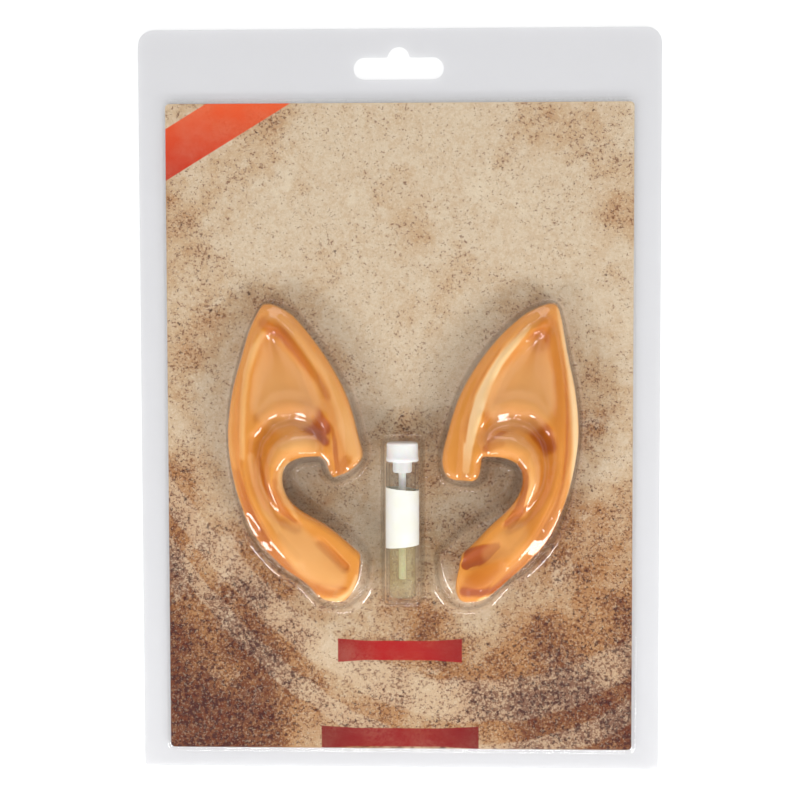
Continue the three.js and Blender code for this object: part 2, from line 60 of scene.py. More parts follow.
# %% Sizes in millimetres
PACK_WIDTH, PACK_HEIGHT = 185.0, 264.0
FILM, GAP = 0.5, 0.3
CARD_WIDTH, CARD_HEIGHT, CARD_THICKNESS, CARD_DROP = 166.0, 231.0, 0.6, 26.0
CARD_BOTTOM_EDGE = PACK_HEIGHT / 2 - CARD_DROP - CARD_HEIGHT
CARD_UNDERSIDE = FILM + GAP
CARD_TOP = CARD_UNDERSIDE + CARD_THICKNESS
SEAT = CARD_TOP + GAP
EAR_WIDTH, EAR_HEIGHT, EAR_DEPTH = 48.0, 106.0, 13.0
EARS_APART, EARS_OFFSET = 28.1, 1.25
EAR_BASE = CARD_BOTTOM_EDGE + 54.3
EAR_WALL = 1.2
RIM_THICKNESS, RIM_ROUND, LIP_ROUND, LIP_TURN = 7.0, 6.0, 2.2, 4.5
BACK_REACH = 0.78

# inX, inY, outX, outY, round
SECTIONS = np.array([
    [0.232, 0.416, 0.078, 0.417, 0.6],
    [0.262, 0.424, 0.044, 0.426, 0.8],
    [0.28, 0.445, 0.015, 0.448, 1.0],
    [0.289, 0.474, 0.004, 0.487, 1.0],
    [0.293, 0.489, 0.03, 0.548, 1.0],
    [0.311, 0.494, 0.115, 0.676, 1.0],
    [0.337, 0.494, 0.23, 0.776, 0.95],
    [0.363, 0.494, 0.396, 0.876, 0.8],
    [0.389, 0.493, 0.578, 0.953, 0.65],
    [0.411, 0.492, 0.719, 0.989, 0.5],
    [0.433, 0.491, 0.822, 1.0, 0.4],
    [0.456, 0.489, 0.869, 0.966, 0.35],
    [0.496, 0.483, 0.919, 0.837, 0.35],
    [0.541, 0.472, 0.978, 0.703, 0.35],
    [0.578, 0.452, 1.0, 0.568, 0.35],
    [0.593, 0.42, 0.963, 0.44, 0.4],
    [0.581, 0.383, 0.893, 0.326, 0.45],
    [0.537, 0.343, 0.785, 0.218, 0.5],
    [0.456, 0.301, 0.637, 0.139, 0.55],
    [0.356, 0.259, 0.474, 0.071, 0.6],
    [0.27, 0.217, 0.333, 0.015, 0.65],
    [0.204, 0.187, 0.23, 0.0, 0.7],
    [0.163, 0.171, 0.141, 0.005, 0.7],
    [0.144, 0.158, 0.102, 0.04, 0.6],
    [0.139, 0.141, 0.106, 0.077, 0.5],
    [0.138, 0.128, 0.122, 0.103, 0.4],
])
# The left ear's front limb ends in a slanting cut, in place of the table's first rows.
SLANTED_LIMB = np.array([
    [0.205, 0.428, 0.112, 0.441, 0.6],
    [0.228, 0.434, 0.058, 0.458, 0.8],
    [0.252, 0.456, 0.016, 0.48, 1.0],
    [0.268, 0.48, 0.004, 0.503, 1.0],
])
# How far the left ear leans towards the other one, from its lower end to its tip, as shares of its width
LEAN_LEFT = [0, 0, 0, 0, 0.003, 0.009, 0.016, 0.022, 0.032, 0.055, 0.105]
ARCH = np.array([0.72, 0.88, 1.0, 0.97, 0.8, 0.6])

# Each fold: its path in shares of the ear, its reach as shares of the width and its rise as shares of the
# depth, both spread evenly along the path.
FOLDS = {
    "inner_ridge": ([[0.31, 0.51], [0.41, 0.53], [0.51, 0.53], [0.6, 0.51], [0.66, 0.46], [0.67, 0.41],
        [0.63, 0.35], [0.59, 0.31]], [0.11, 0.11, 0.08, 0.055], [0.12, 0.22, 0.2, 0.1]),
    "hollow_behind_ridge": ([[0.3, 0.57], [0.38, 0.59], [0.51, 0.605], [0.65, 0.59], [0.75, 0.54],
        [0.77, 0.47], [0.74, 0.4], [0.67, 0.34], [0.58, 0.29], [0.49, 0.26]], [0.08, 0.12, 0.1, 0.06],
        [-0.08, -0.28, -0.24, -0.1]),
    "shelf": ([[0.3, 0.63], [0.39, 0.66], [0.53, 0.67], [0.67, 0.66], [0.77, 0.61], [0.81, 0.54],
        [0.79, 0.46]], [0.07, 0.07], [0.08, 0.05]),
    "tip_hollow": ([[0.57, 0.69], [0.64, 0.79], [0.71, 0.88]], [0.36, 0.24, 0.1], [-0.16, -0.22, -0.2]),
    "front_roll": ([[0.75, 0.94], [0.56, 0.88], [0.41, 0.79], [0.32, 0.69], [0.25, 0.59], [0.24, 0.51],
        [0.23, 0.43]], [0.06, 0.09], [0.12, 0.22]),
    "outer_band": ([[0.81, 0.89], [0.85, 0.78], [0.87, 0.66], [0.87, 0.54], [0.83, 0.43], [0.76, 0.32],
        [0.64, 0.23], [0.49, 0.15]], [0.06, 0.06], [0.08, 0.05]),
    "rim_groove": ([[0.84, 0.94], [0.89, 0.81], [0.92, 0.69], [0.92, 0.57], [0.9, 0.46], [0.84, 0.35],
        [0.73, 0.25], [0.6, 0.16], [0.45, 0.09], [0.33, 0.05], [0.21, 0.04]], [0.03, 0.03], [-0.06, -0.06]),
    "plump_end": ([[0.59, 0.21], [0.43, 0.15], [0.27, 0.09]], [0.2, 0.17], [0.1, 0.08]),
}
LEFT_FOLDS = {
    "dent": ([[0.31, 0.208], [0.22, 0.168], [0.13, 0.121]], [0.05, 0.05], [-0.09, -0.09]),
    "limb_crease": ([[0.265, 0.6], [0.26, 0.52], [0.24, 0.44]], [0.03, 0.05], [-0.05, -0.16]),
}
RIGHT_FOLDS = {
    "dent": ([[0.41, 0.19], [0.3, 0.16], [0.2, 0.14]], [0.08, 0.07], [-0.07, -0.07]),
}
EARS = {
    "ear_left": {"side": -1, "splay": 6.2, "folds": {**FOLDS, **LEFT_FOLDS}, "lean": LEAN_LEFT,
                 "sections": np.vstack([SLANTED_LIMB, SECTIONS[4:]])},
    "ear_right": {"side": 1, "splay": 0.0, "folds": {**FOLDS, **RIGHT_FOLDS}, "lean": [0, 0],
                  "sections": SECTIONS},
}

# %% [markdown]
# ## The ear's form in numbers

# %% Splines, paths and the height of the face
def spline_at(values, place):
    """A Catmull-Rom spline through evenly spaced rows, at places from 0 to the last row's index."""
    values = np.asarray(values, float)
    place = np.asarray(place, float)
    last = len(values) - 1
    i = np.clip(np.floor(place).astype(int), 0, last - 1)
    t = place - i
    a, b, c, d = (values[np.clip(i + k, 0, last)] for k in (-1, 0, 1, 2))
    if values.ndim > 1:
        t = t[..., None]
    return b + 0.5 * t * (c - a + t * (2 * a - 5 * b + 4 * c - d + t * (3 * (b - c) + d - a)))


def nearest_on_path(path, points):
    """How far each point lies from a path, and how far along it that is, from 0 to 1."""
    scale = np.array([EAR_WIDTH, EAR_HEIGHT])
    path = np.asarray(path, float) * scale
    best = np.full(len(points), np.inf)
    along = np.zeros(len(points))
    for k in range(len(path) - 1):
        a, d = path[k], path[k + 1] - path[k]
        t = np.clip(((points - a) @ d) / (d @ d), 0, 1)
        distance = np.hypot(*(points - a - t[:, None] * d).T)
        near = distance < best
        best[near] = distance[near]
        along[near] = (k + t[near]) / (len(path) - 1)
    return best, along


def smooth_step(low, high, value):
    t = np.clip((value - low) / (high - low), 0, 1)
    return t * t * (3 - 2 * t)


def face_height(ear, points):
    """The height of the ear's face over its back, in its own frame, at an array of points."""
    share = spline_at(ARCH, np.clip(points[:, 1] / EAR_HEIGHT, 0, 1) * (len(ARCH) - 1))
    for path, reach, rise in ear["folds"].values():
        distance, along = nearest_on_path(path, points)
        width = spline_at(reach, along * (len(reach) - 1)) * EAR_WIDTH
        fall = 1 - np.clip(distance / width, 0, 1) ** 2
        share = share + spline_at(rise, along * (len(rise) - 1)) * fall**2
    return share * EAR_DEPTH


def height_near(ear, points, radius, pick):
    found = face_height(ear, points)
    for angle in np.arange(0, 2 * math.pi, math.pi / 6):
        found = pick(found, face_height(ear, points + radius * np.array([math.cos(angle), math.sin(angle)])))
    return found


def section_ends(ear, place):
    """The inner and outer end of the sections at an array of places, and how far their rims round over."""
    row = spline_at(ear["sections"], place)
    ends = []
    for x, y in ((row[:, 0], row[:, 1]), (row[:, 2], row[:, 3])):
        near = 1 - np.clip(np.abs(y - 0.18) / 0.2, 0, 1) ** 2
        shift = ear["splay"] * near**2 * (1 - smooth_step(0.35, 0.6, x))
        ends.append(np.stack([x * EAR_WIDTH - shift, y * EAR_HEIGHT], 1))
    return ends[0], ends[1], row[:, 4] * RIM_ROUND


def lean_at(ear, y):
    """How far the ear leans towards the other one, at heights over its lower end."""
    return spline_at(ear["lean"], np.clip(y / EAR_HEIGHT, 0, 1) * (len(ear["lean"]) - 1)) * EAR_WIDTH


def placed(ear, points):
    """Points of the ear's own frame in the pack's, in millimetres."""
    points = np.asarray(points, float)
    x = ear["side"] * (EARS_APART / 2 + points[..., 0] - lean_at(ear, points[..., 1])) + EARS_OFFSET
    return np.stack([x, EAR_BASE + points[..., 1], SEAT + points[..., 2]], -1)


def own_plan(ear, points):
    """Points of the pack's plan in the ear's own frame."""
    y = points[:, 1] - EAR_BASE
    return np.stack([ear["side"] * (points[:, 0] - EARS_OFFSET) - EARS_APART / 2 + lean_at(ear, y), y], 1)


# %% The rings of the ear's two skins
LAST_SECTION = len(SECTIONS) - 1
STATIONS, FRONT_STEPS, RIM_STEPS, BACK_STEPS = 200, 54, 12, 12


def ear_rings(ear, inset):
    """One skin of the ear as rings: the one that shows, or the one round the hollow at an inset."""
    place = np.linspace(0, LAST_SECTION, STATIONS)
    inner, outer, rounding = section_ends(ear, place)
    span = outer - inner
    length = np.hypot(*span.T)
    ahead = section_ends(ear, np.minimum(place + 0.05, LAST_SECTION))[1]
    behind = section_ends(ear, np.maximum(place - 0.05, 0))[1]
    outline = ahead - behind
    cross = outline[:, 0] * span[:, 1] - outline[:, 1] * span[:, 0]
    slant = np.abs(cross) / (np.hypot(*outline.T) * length)
    rim = np.minimum(rounding / np.maximum(slant, 0.4), 0.45 * length)
    crest = length - rim
    lip = np.minimum(LIP_ROUND, 0.4 * crest)
    back_edge = (1 - BACK_REACH) * length

    def plan(s):
        return inner + span * (s / length)[:, None]

    def ring_point(s, z):
        return np.concatenate([plan(s), z[:, None]], 1)

    def lip_drop(s):
        inside = np.clip(1 - s / lip, 0, 1)
        return lip * (1 - np.sqrt(1 - inside**2))

    rim_top = face_height(ear, plan(crest))
    back_rise = np.maximum(rim_top - RIM_THICKNESS, 0)
    start = np.full(STATIONS, float(inset))
    rings = [ring_point(start, face_height(ear, plan(start * 0)) - LIP_TURN)]
    for i in range(FRONT_STEPS + 1):
        share = i / FRONT_STEPS
        s = inset + (crest - inset) * share**1.45
        top = height_near(ear, plan(s), EAR_WALL, np.minimum) if inset else face_height(ear, plan(s))
        top = np.where(share == 1, rim_top, top)
        rings.append(ring_point(s, top - lip_drop(s - inset) - inset))
    half = RIM_THICKNESS / 2
    for i in range(1, RIM_STEPS):
        turn = math.pi * i / RIM_STEPS
        s = crest + (rim - inset) * math.sin(turn)
        rings.append(ring_point(s, rim_top - half + (half - inset) * math.cos(turn)))
    for i in range(BACK_STEPS + 1):
        share = i / BACK_STEPS
        s = crest + (back_edge - crest) * share
        rings.append(ring_point(s, back_rise * (1 - share) ** 1.6 + inset))
    return np.stack(rings, 1)


# %% Making a mesh object from arrays
def new_object(name, points, faces, material, smooth=True):
    """An object from points in millimetres, with edges over 50 degrees left sharp."""
    mesh = bpy.data.meshes.new(name)
    mesh.from_pydata((np.asarray(points) * MM).tolist(), [], [list(map(int, f)) for f in faces])
    obj = bpy.data.objects.new(name, mesh)
    scene.collection.objects.link(obj)
    mesh.materials.append(material)
    if smooth:
        mesh.shade_smooth()
        mesh.set_sharp_from_angle(angle=math.radians(50))
    return obj


def band(from_start, to_start, count):
    """The faces between two closed rings of points."""
    quads = []
    for i in range(count):
        n = (i + 1) % count
        quads.append((from_start + i, from_start + n, to_start + n, to_start + i))
    return quads


def turn_outwards(obj):
    bm = bmesh.new()
    bm.from_mesh(obj.data)
    bmesh.ops.recalc_face_normals(bm, faces=bm.faces)
    bm.to_mesh(obj.data)
    bm.free()

# %% [markdown]
# ## The ears' painted highlights and shade
#
# Painted highlights along the crests and edges, and painted shade in the folds, grooves and dents, run along
# paths too, each with a reach, a tone from -1, deep brown, to 1, pale, and the share of its reach over which
# it fades out.

# %% Painted shade and highlights along paths
# Paths and reaches in thousandths of the ear and its width, tones in hundredths
# Right ear: negative tones are painted shade in its folds, grooves and dents, positive ones painted
# highlights on its crests and edges
RIGHT_PAINTED_SHADE_AND_HIGHLIGHTS = {
    "front_crest": ([[630, 919], [519, 862], [415, 805], [341, 745], [281, 678], [237, 611], [193, 527],
        [178, 450]], [22, 33, 41, 48, 52, 48, 41, 30], [60, 90, 100, 100, 100, 95, 80, 50], 0.4),
    "front_line": ([[415, 839], [311, 762], [237, 695], [193, 628], [170, 544]], [15, 15, 15, 15, 11],
        [-30, -45, -45, -40, -30], 0.8),
    "apex": ([[770, 940], [711, 872]], [67, 96], [-30, -50], 0.5),
    "outer_slope": ([[822, 930], [844, 779], [852, 644], [852, 510], [822, 376], [763, 275]],
        [37, 52, 59, 67, 67, 59], [-20, -30, -25, -15, -5, 0], 0.7),
    "rim_line": ([[881, 846], [904, 745], [915, 628], [911, 510], [881, 403], [830, 302], [748, 225],
        [615, 148], [452, 81]], [11, 15, 15, 15, 15, 19, 22, 30, 37],
        [-30, -50, -55, -55, -50, -45, -40, -40, -40], 0.9),
    "rim_edge": ([[852, 980], [896, 879], [941, 772], [970, 644], [981, 510], [963, 403], [919, 302],
        [844, 225], [726, 151], [578, 84], [430, 37], [281, 10]],
        [22, 30, 37, 41, 41, 41, 37, 33, 26, 22, 22, 22],
        [50, 80, 90, 100, 100, 100, 95, 90, 80, 70, 80, 90], 0.8),
    "crescent": ([[341, 631], [504, 641], [652, 621], [748, 577], [785, 527]], [52, 67, 74, 67, 59],
        [-35, -50, -60, -75, -85], 0.4),
    "crescent_line": ([[341, 544], [407, 564], [481, 581], [556, 587], [644, 574], [711, 540], [763, 500]],
        [15, 19, 22, 22, 26, 30, 30], [-60, -70, -70, -75, -80, -80, -50], 0.8),
    "below_ridge": ([[326, 523], [430, 540]], [37, 37], [-60, -40], 0.6),
    "bowl_band": ([[578, 470], [615, 416], [607, 362], [563, 312], [496, 272]], [30, 33, 37, 44, 44],
        [-50, -55, -60, -70, -70], 0.25),
    "pale_wedge": ([[674, 490], [681, 436], [667, 389], [607, 332]], [44, 48, 41, 7], [20, 35, 50, 70],
        0.25),
    "turn": ([[860, 400], [780, 310], [660, 250], [540, 220]], [80, 100, 120, 80], [-10, -20, -25, -10],
        0.8),
    "lobe": ([[500, 190], [360, 120], [240, 70], [200, 50]], [50, 100, 110, 80], [-10, -35, -50, -50], 0.6),
    "lobe_patch": ([[400, 195], [311, 174], [222, 154], [178, 131]], [30, 67, 74, 37],
        [-90, -100, -100, -100], 0.15),
    "end_band": ([[163, 40], [281, 34], [393, 47], [519, 97], [652, 154]], [44, 37, 37, 30, 22],
        [-90, -95, -90, -50, -20], 0.5),
}
# Left ear: the same painted shade in folds, grooves and dents, and painted highlights on crests and edges
LEFT_PAINTED_SHADE_AND_HIGHLIGHTS = {
    "front_crest": ([[588, 953], [468, 886], [333, 805], [228, 728], [146, 651], [94, 577]],
        [37, 44, 52, 59, 59, 59], [15, 25, 30, 35, 40, 40], 0.7),
    "front_slope": ([[723, 936], [596, 903], [468, 839], [341, 765], [243, 691]], [52, 59, 44, 37, 30],
        [-50, -70, -60, -45, -40], 0.5),
    "panel_strip": ([[723, 899], [790, 846], [843, 772], [865, 678], [873, 577], [873, 493]],
        [22, 33, 30, 26, 26, 26], [50, 55, 45, 45, 50, 45], 0.5),
    "crescent": ([[753, 624], [581, 654], [446, 651], [341, 631], [273, 591]], [44, 59, 74, 74, 67],
        [-40, -60, -75, -90, -100], 0.35),
    "ridge_light": ([[350, 530], [450, 540], [560, 530]], [50, 70, 50], [30, 50, 30], 0.7),
    "crescent_line": ([[528, 614], [431, 594], [333, 577], [258, 544]], [37, 44, 44, 37],
        [-60, -80, -100, -100], 0.6),
    "outer_line": ([[918, 443], [865, 359], [798, 275], [693, 195], [558, 121], [408, 57], [243, 34]],
        [30, 37, 41, 44, 44, 44, 44], [-35, -50, -60, -60, -50, -45, -35], 0.5),
    "outer_edge": ([[948, 678], [970, 577], [963, 477]], [22, 22], [10, 15, 10], 0.8),
    "stripe": ([[753, 493], [738, 443], [700, 389], [655, 349]], [11, 19, 22, 19], [-40, -55, -60, -50],
        0.6),
    "stripe_wide": ([[633, 416], [610, 362], [566, 315], [498, 279]], [22, 41, 44, 22],
        [-30, -45, -50, -50], 0.3),
    "pale_band": ([[813, 493], [775, 409], [708, 322], [610, 248]], [30, 37, 37, 30], [35, 40, 40, 30],
        0.5),
    "bowl_edge": ([[536, 470], [588, 443], [596, 393], [551, 342], [483, 292]], [30, 30, 30, 30, 22],
        [60, 60, 60, 50, 30], 0.7),
    "slot_dent": ([[311, 198], [221, 164], [124, 124]], [33, 37, 33], [-40, -42, -45], 0.2),
    "lobe_light": ([[528, 181], [378, 131], [228, 81]], [74, 104, 74], [15, 30, 25], 0.8),
    "end_shade": ([[420, 70], [300, 50], [170, 50]], [50, 60, 50], [-20, -35, -30], 0.8),
    "end_line": ([[333, 64], [228, 57], [124, 50]], [15, 15], [-40, -50, -40], 0.7),
    "end_edge": ([[303, 7], [184, 7], [86, 37], [41, 91]], [22, 30, 26, 22], [50, 75, 70, 50], 0.8),
    "flap_crease": ([[213, 594], [191, 544], [184, 493], [169, 443]], [15, 19, 22, 22],
        [-40, -60, -60, -40], 0.6),
    "flap_pale": ([[131, 594], [79, 544], [49, 493]], [52, 59, 44], [40, 50, 35], 0.6),
    "flap_end": ([[154, 456], [109, 483]], [44, 44], [-30, -35], 0.4),
}
# Painted reflection of the bright surroundings on flat faces under the film: there the colour is painted
# paler and milkier, and the latex is made rougher.
PAINTED_REFLECTION_AND_ROUGHNESS = {
    "panel": ([[690, 850], [650, 770], [600, 700], [570, 680]], [90, 190, 260, 270], [50, 70, 70, 70], 0.2),
    "below_ridge": ([[420, 530], [550, 530], [640, 490]], [90, 100, 80], [35, 40, 35], 0.4),
    "lobe": ([[550, 240], [460, 200], [360, 170]], [100, 120, 80], [40, 45, 30], 0.5),
}
LEFT_PAINTED_REFLECTION_AND_ROUGHNESS = {
    "lobe_left": ([[500, 220], [380, 150], [220, 90]], [120, 160, 120], [60, 80, 70], 0.4),
    "flap": ([[150, 620], [90, 550], [50, 500]], [70, 80, 60], [40, 60, 50], 0.5),
}


def in_shares(table):
    """A table of tones with its paths and reaches as shares of the ear, and its tones from -1 to 1."""
    return {name: (np.array(path) / 1000, np.array(reach) / 1000, np.array(tone) / 100, fade)
            for name, (path, reach, tone, fade) in table.items()}


def tone_at(table, points):
    """The sum of a table's tones at points of the ear's own frame."""
    total = np.zeros(len(points))
    for path, reach, tone, fade in table.values():
        distance, along = nearest_on_path(path, points)
        width = spline_at(reach, along * (len(reach) - 1)) * EAR_WIDTH
        strength = 1 - smooth_step(1 - fade, 1 + 0.2 * fade, distance / np.maximum(width, 0.05))
        value = spline_at(tone, along * (len(tone) - 1)) * strength
        total = np.where(np.abs(value) > 0, total * (1 - 0.6 * strength) + value, total)
    return total


EARS["ear_right"].update(tones=in_shares(RIGHT_PAINTED_SHADE_AND_HIGHLIGHTS), haze=in_shares(PAINTED_REFLECTION_AND_ROUGHNESS))
EARS["ear_left"].update(tones=in_shares(LEFT_PAINTED_SHADE_AND_HIGHLIGHTS), haze=in_shares({**PAINTED_REFLECTION_AND_ROUGHNESS, **LEFT_PAINTED_REFLECTION_AND_ROUGHNESS}))
for name, ear in EARS.items():
    print(name, "tones along", len(ear["tones"]), "paths, haze along", len(ear["haze"]))

# %% [markdown]
# ## Materials
#
# Each material is a small tree of shader nodes. What a node gives out is kept as a Value, which can be
# added, multiplied and led from one range to another like a number, and a Tree makes the nodes and plugs
# them together.

# %% Values and trees
class Value:
    """What a node gives out."""

    def __init__(self, tree, socket):
        self.tree, self.socket = tree, socket

    def __add__(self, other):
        return self.tree.math("ADD", self, other)

    def __sub__(self, other):
        return self.tree.math("SUBTRACT", self, other)

    def __rsub__(self, other):
        return self.tree.math("SUBTRACT", other, self)

    def __mul__(self, other):
        return self.tree.math("MULTIPLY", self, other)

    def __pow__(self, other):
        return self.tree.math("POWER", self, other)

    def __abs__(self):
        return self.tree.math("ABSOLUTE", self)

    def ranged(self, low, high, to_low=0.0, to_high=1.0, smooth=False):
        """The value led from one range to another and held within it."""
        node = self.tree.node("MapRange", Value=self, From_Min=low, From_Max=high, To_Min=to_low,
                              To_Max=to_high)
        if smooth:
            node.interpolation_type = "SMOOTHSTEP"
        return Value(self.tree, node.outputs[0])

    def above(self, edge, soft=0.0003):
        """1 where the value is over an edge, 0 under it."""
        return self.ranged(edge - soft, edge + soft)


class Tree:
    """The shader nodes of one material or world."""

    def __init__(self, owner):
        owner.use_nodes = True
        self.nodes, self.links = owner.node_tree.nodes, owner.node_tree.links

    def plug(self, socket, value):
        """Gives a socket a node's value, a number or a colour."""
        if isinstance(value, Value):
            self.links.new(value.socket, socket)
        else:
            socket.default_value = (*value, 1) if socket.type == "RGBA" else value

    def node(self, kind, **inputs):
        """A node with its inputs given by name."""
        node = self.nodes.new("ShaderNode" + kind)
        for name, value in inputs.items():
            self.plug(node.inputs[name.replace("_", " ")], value)
        return node

    def out(self, kind, **inputs):
        """What a new node gives out first."""
        return Value(self, self.node(kind, **inputs).outputs[0])

    def named(self, node, output):
        """What a node gives out under a name."""
        return Value(self, node.outputs[output])

    def math(self, operation, *values):
        node = self.node("Math")
        node.operation = operation
        for socket, value in zip(node.inputs, values):
            self.plug(socket, value)
        return self.named(node, 0)

    def point(self):
        return self.named(self.node("TexCoord"), "Object")

    def split(self, vector):
        return [Value(self, socket) for socket in self.node("SeparateXYZ", Vector=vector).outputs]

    def noise(self, size, detail=4, roughness=0.6, distortion=0.0):
        """A noise whose features are about a size in millimetres."""
        return self.out("TexNoise", Vector=self.point(), Scale=1000 / size, Detail=detail,
                        Roughness=roughness, Distortion=distortion)

    def attribute(self, name):
        node = self.node("Attribute")
        node.attribute_name = name
        return self.named(node, "Fac")

    def ramp(self, place, *stops):
        """The colour at a place from 0 to 1 between stops, each a position and a colour."""
        node = self.node("ValToRGB", Fac=place)
        elements = node.color_ramp.elements
        while len(elements) < len(stops):
            elements.new(0.5)
        for element, (position, colour) in zip(elements, stops):
            element.position, element.color = position, (*colour, 1)
        return self.named(node, 0)

    def mix(self, factor, first, second):
        """A mix of two colours."""
        node = self.node("Mix")
        node.data_type = "RGBA"
        for socket, value in ((0, factor), (6, first), (7, second)):
            self.plug(node.inputs[socket], value)
        return self.named(node, 2)

    def bump(self, height, strength, distance):
        return self.out("Bump", Height=height, Strength=strength, Distance=distance * MM)

    def mixed_shader(self, factor, first, second):
        node = self.node("MixShader")
        for socket, value in zip(node.inputs, (factor, first, second)):
            self.plug(socket, value)
        return self.named(node, 0)

    def surface(self, shader):
        self.links.new(shader.socket, self.node("OutputMaterial").inputs["Surface"])


def new_material(name):
    material = bpy.data.materials.new(name)
    tree = Tree(material)
    tree.nodes.clear()
    return material, tree


# %% Colours as seen through the film
# Film turns back a share of the light, so what lies under it looks darker, and adds a faint grey veil.
UNDER_FILM, FILM_VEIL = 1.17, 0.03
DARKEST, PALEST = 0.004, 0.95


def linear(*colour):
    """A screen colour from 0 to 255, as seen through the film, as the linear colour that shaders take."""
    light = [((part / 255 + 0.055) / 1.055) ** 2.4 for part in colour]
    return tuple(min(max((part - FILM_VEIL) * UNDER_FILM, DARKEST), PALEST) for part in light)


print("white paper under the film:", [round(part, 3) for part in linear(255, 255, 255)])

# %% Latex
def latex_material():
    material, tree = new_material("latex")
    # the tone paints the ear's shade and highlights, deep brown in folds and pale on crests, with a little
    # random change of colour from noise
    tone = tree.attribute("tone") + tree.noise(9, detail=5).ranged(0.3, 0.7, -0.07, 0.07)
    colour = tree.ramp(tone.ranged(-1, 1), (0.0, linear(166, 88, 24)), (0.25, linear(190, 114, 40)),
                       (0.5, linear(211, 142, 70)), (0.75, linear(226, 170, 106)),
                       (1.0, linear(242, 200, 148)))
    # the haze paints a pale reflection of the bright surroundings over flat faces, and raises the roughness
    # there
    haze = tree.attribute("haze")
    tree.surface(tree.out(
        "BsdfPrincipled", IOR=1.45, Specular_IOR_Level=0.25, Subsurface_Weight=0.05, Subsurface_Scale=0.001,
        Subsurface_Radius=(1.0, 0.5, 0.25), Base_Color=tree.mix(haze, colour, linear(218, 162, 102)),
        Roughness=tree.noise(4).ranged(0.3, 0.7, 0.36, 0.44) + haze * 0.3,
        Normal=tree.bump(tree.noise(1.6, detail=3), 0.12, 0.25)))
    return material


LATEX = latex_material()

# %% The two ears
def build_ear(name, node, ear):
    shown, hidden = ear_rings(ear, 0.0), ear_rings(ear, EAR_WALL)
    rings = np.concatenate([shown, hidden[:, ::-1]], 1)
    ring_size = shown.shape[1]
    points = rings.reshape(-1, 3)
    faces = []
    for k in range(1, STATIONS):
        faces += band((k - 1) * 2 * ring_size, k * 2 * ring_size, 2 * ring_size)
    for k in (0, STATIONS - 1):
        start = k * 2 * ring_size
        for i in range(ring_size - 1):
            across = 2 * ring_size - 1 - i
            faces.append((start + i, start + across, start + across - 1, start + i + 1))
    obj = new_object(name, placed(ear, points), faces, LATEX)
    # painted light per point: tone holds the painted shade and highlights, haze the painted reflection
    seen = points[:, :2] - np.column_stack([lean_at(ear, points[:, 1]), np.zeros(len(points))])
    tone = tone_at(ear["tones"], seen)
    haze = np.clip(tone_at(ear["haze"], points[:, :2]), 0, 1)
    behind = np.tile(np.arange(2 * ring_size) > FRONT_STEPS + RIM_STEPS, STATIONS)
    tone[behind], haze[behind] = -0.1, 0
    for key, values in (("tone", np.clip(tone, -1, 1)), ("haze", haze)):
        obj.data.attributes.new(key, "FLOAT", "POINT").data.foreach_set("value", values)
    turn_outwards(obj)
    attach(obj, "root")
    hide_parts(node)
    print(name, "faces:", len(faces))


for ear_name, ear in EARS.items():
    build_ear(f"{ear_name}_skin", ear_name, ear)

# %% [markdown]
# ## The formed film
#
# The front film is one thin sheet, drawn down over the ears and the vial. Seen from above it never folds
# under itself, so a height for each place describes it: flat over the card, up a steep wall round each
# pocket and softly over what lies in it. Points are laid along the edges of the pockets, where the sheet
# bends, and joined up by a Delaunay triangulation.

# %% Outlines and distances to them
FILM_SHOWN = 0.35
FLANGE_TOP = CARD_UNDERSIDE + FILM
PANEL_TOP = SEAT + FILM
SLOT_MIDDLE, SLOT_SIDE = PACK_HEIGHT / 2 - 14, 12.1


def resampled(loop, step):
    """A closed loop with points at even steps."""
    closed = np.vstack([loop, loop[:1]])
    run = np.concatenate([[0], np.cumsum(np.hypot(*np.diff(closed, axis=0).T))])
    count = max(8, round(run[-1] / step))
    at = np.linspace(0, run[-1], count, endpoint=False)
    return np.stack([np.interp(at, run, closed[:, 0]), np.interp(at, run, closed[:, 1])], 1)


def softened(loop, passes):
    for _ in range(passes):
        loop = (np.roll(loop, 1, 0) + 2 * loop + np.roll(loop, -1, 0)) / 4
    return loop


# How many points are measured at once, to spare memory
AT_ONCE = 2000


def nearest_on_loop(loop, points):
    """For each point, its distance from a closed loop, negative inside, and the nearest point on the loop."""
    start, step = loop, np.roll(loop, -1, 0) - loop
    square = (step**2).sum(1)
    distance, nearest = np.zeros(len(points)), np.zeros((len(points), 2))
    inside = np.zeros(len(points), bool)
    for low in range(0, len(points), AT_ONCE):
        part = slice(low, low + AT_ONCE)
        p = points[part]
        away = p[:, None] - start[None]
        t = np.clip((away * step).sum(2) / square, 0, 1)
        gap = away - t[..., None] * step
        length = np.hypot(gap[..., 0], gap[..., 1])
        k = length.argmin(1)
        rows = np.arange(len(p))
        distance[part] = length[rows, k]
        nearest[part] = start[k] + t[rows, k, None] * step[k]
        crosses = (start[None, :, 1] > p[:, None, 1]) != (np.roll(start, -1, 0)[None, :, 1] > p[:, None, 1])
        slope = np.where(step[:, 1] == 0, 1e-9, step[:, 1])
        left = p[:, None, 0] < start[None, :, 0] + step[None, :, 0] * (away[..., 1] / slope)
        inside[part] = (crosses & left).sum(1) % 2 == 1
    return np.where(inside, -distance, distance), nearest


def rounded_box_distance(points, centre, half, corner):
    q = np.abs(points - centre) - np.array(half) + corner
    return np.hypot(*np.maximum(q, 0).T) + np.minimum(q.max(1), 0) - corner


def rounded_box_loop(centre, half, corner, growth, step):
    """A loop round a rounded box, anticlockwise, grown by a distance."""
    radius = max(corner + growth, 0.05)
    points = []
    for turn, (sx, sy) in enumerate(((1, 1), (-1, 1), (-1, -1), (1, -1))):
        middle = np.array(centre) + np.array([sx, sy]) * (np.array(half) - corner)
        for angle in np.linspace(turn, turn + 1, 9) * math.pi / 2:
            points.append(middle + radius * np.array([math.cos(angle), math.sin(angle)]))
    return resampled(np.array(points), step)


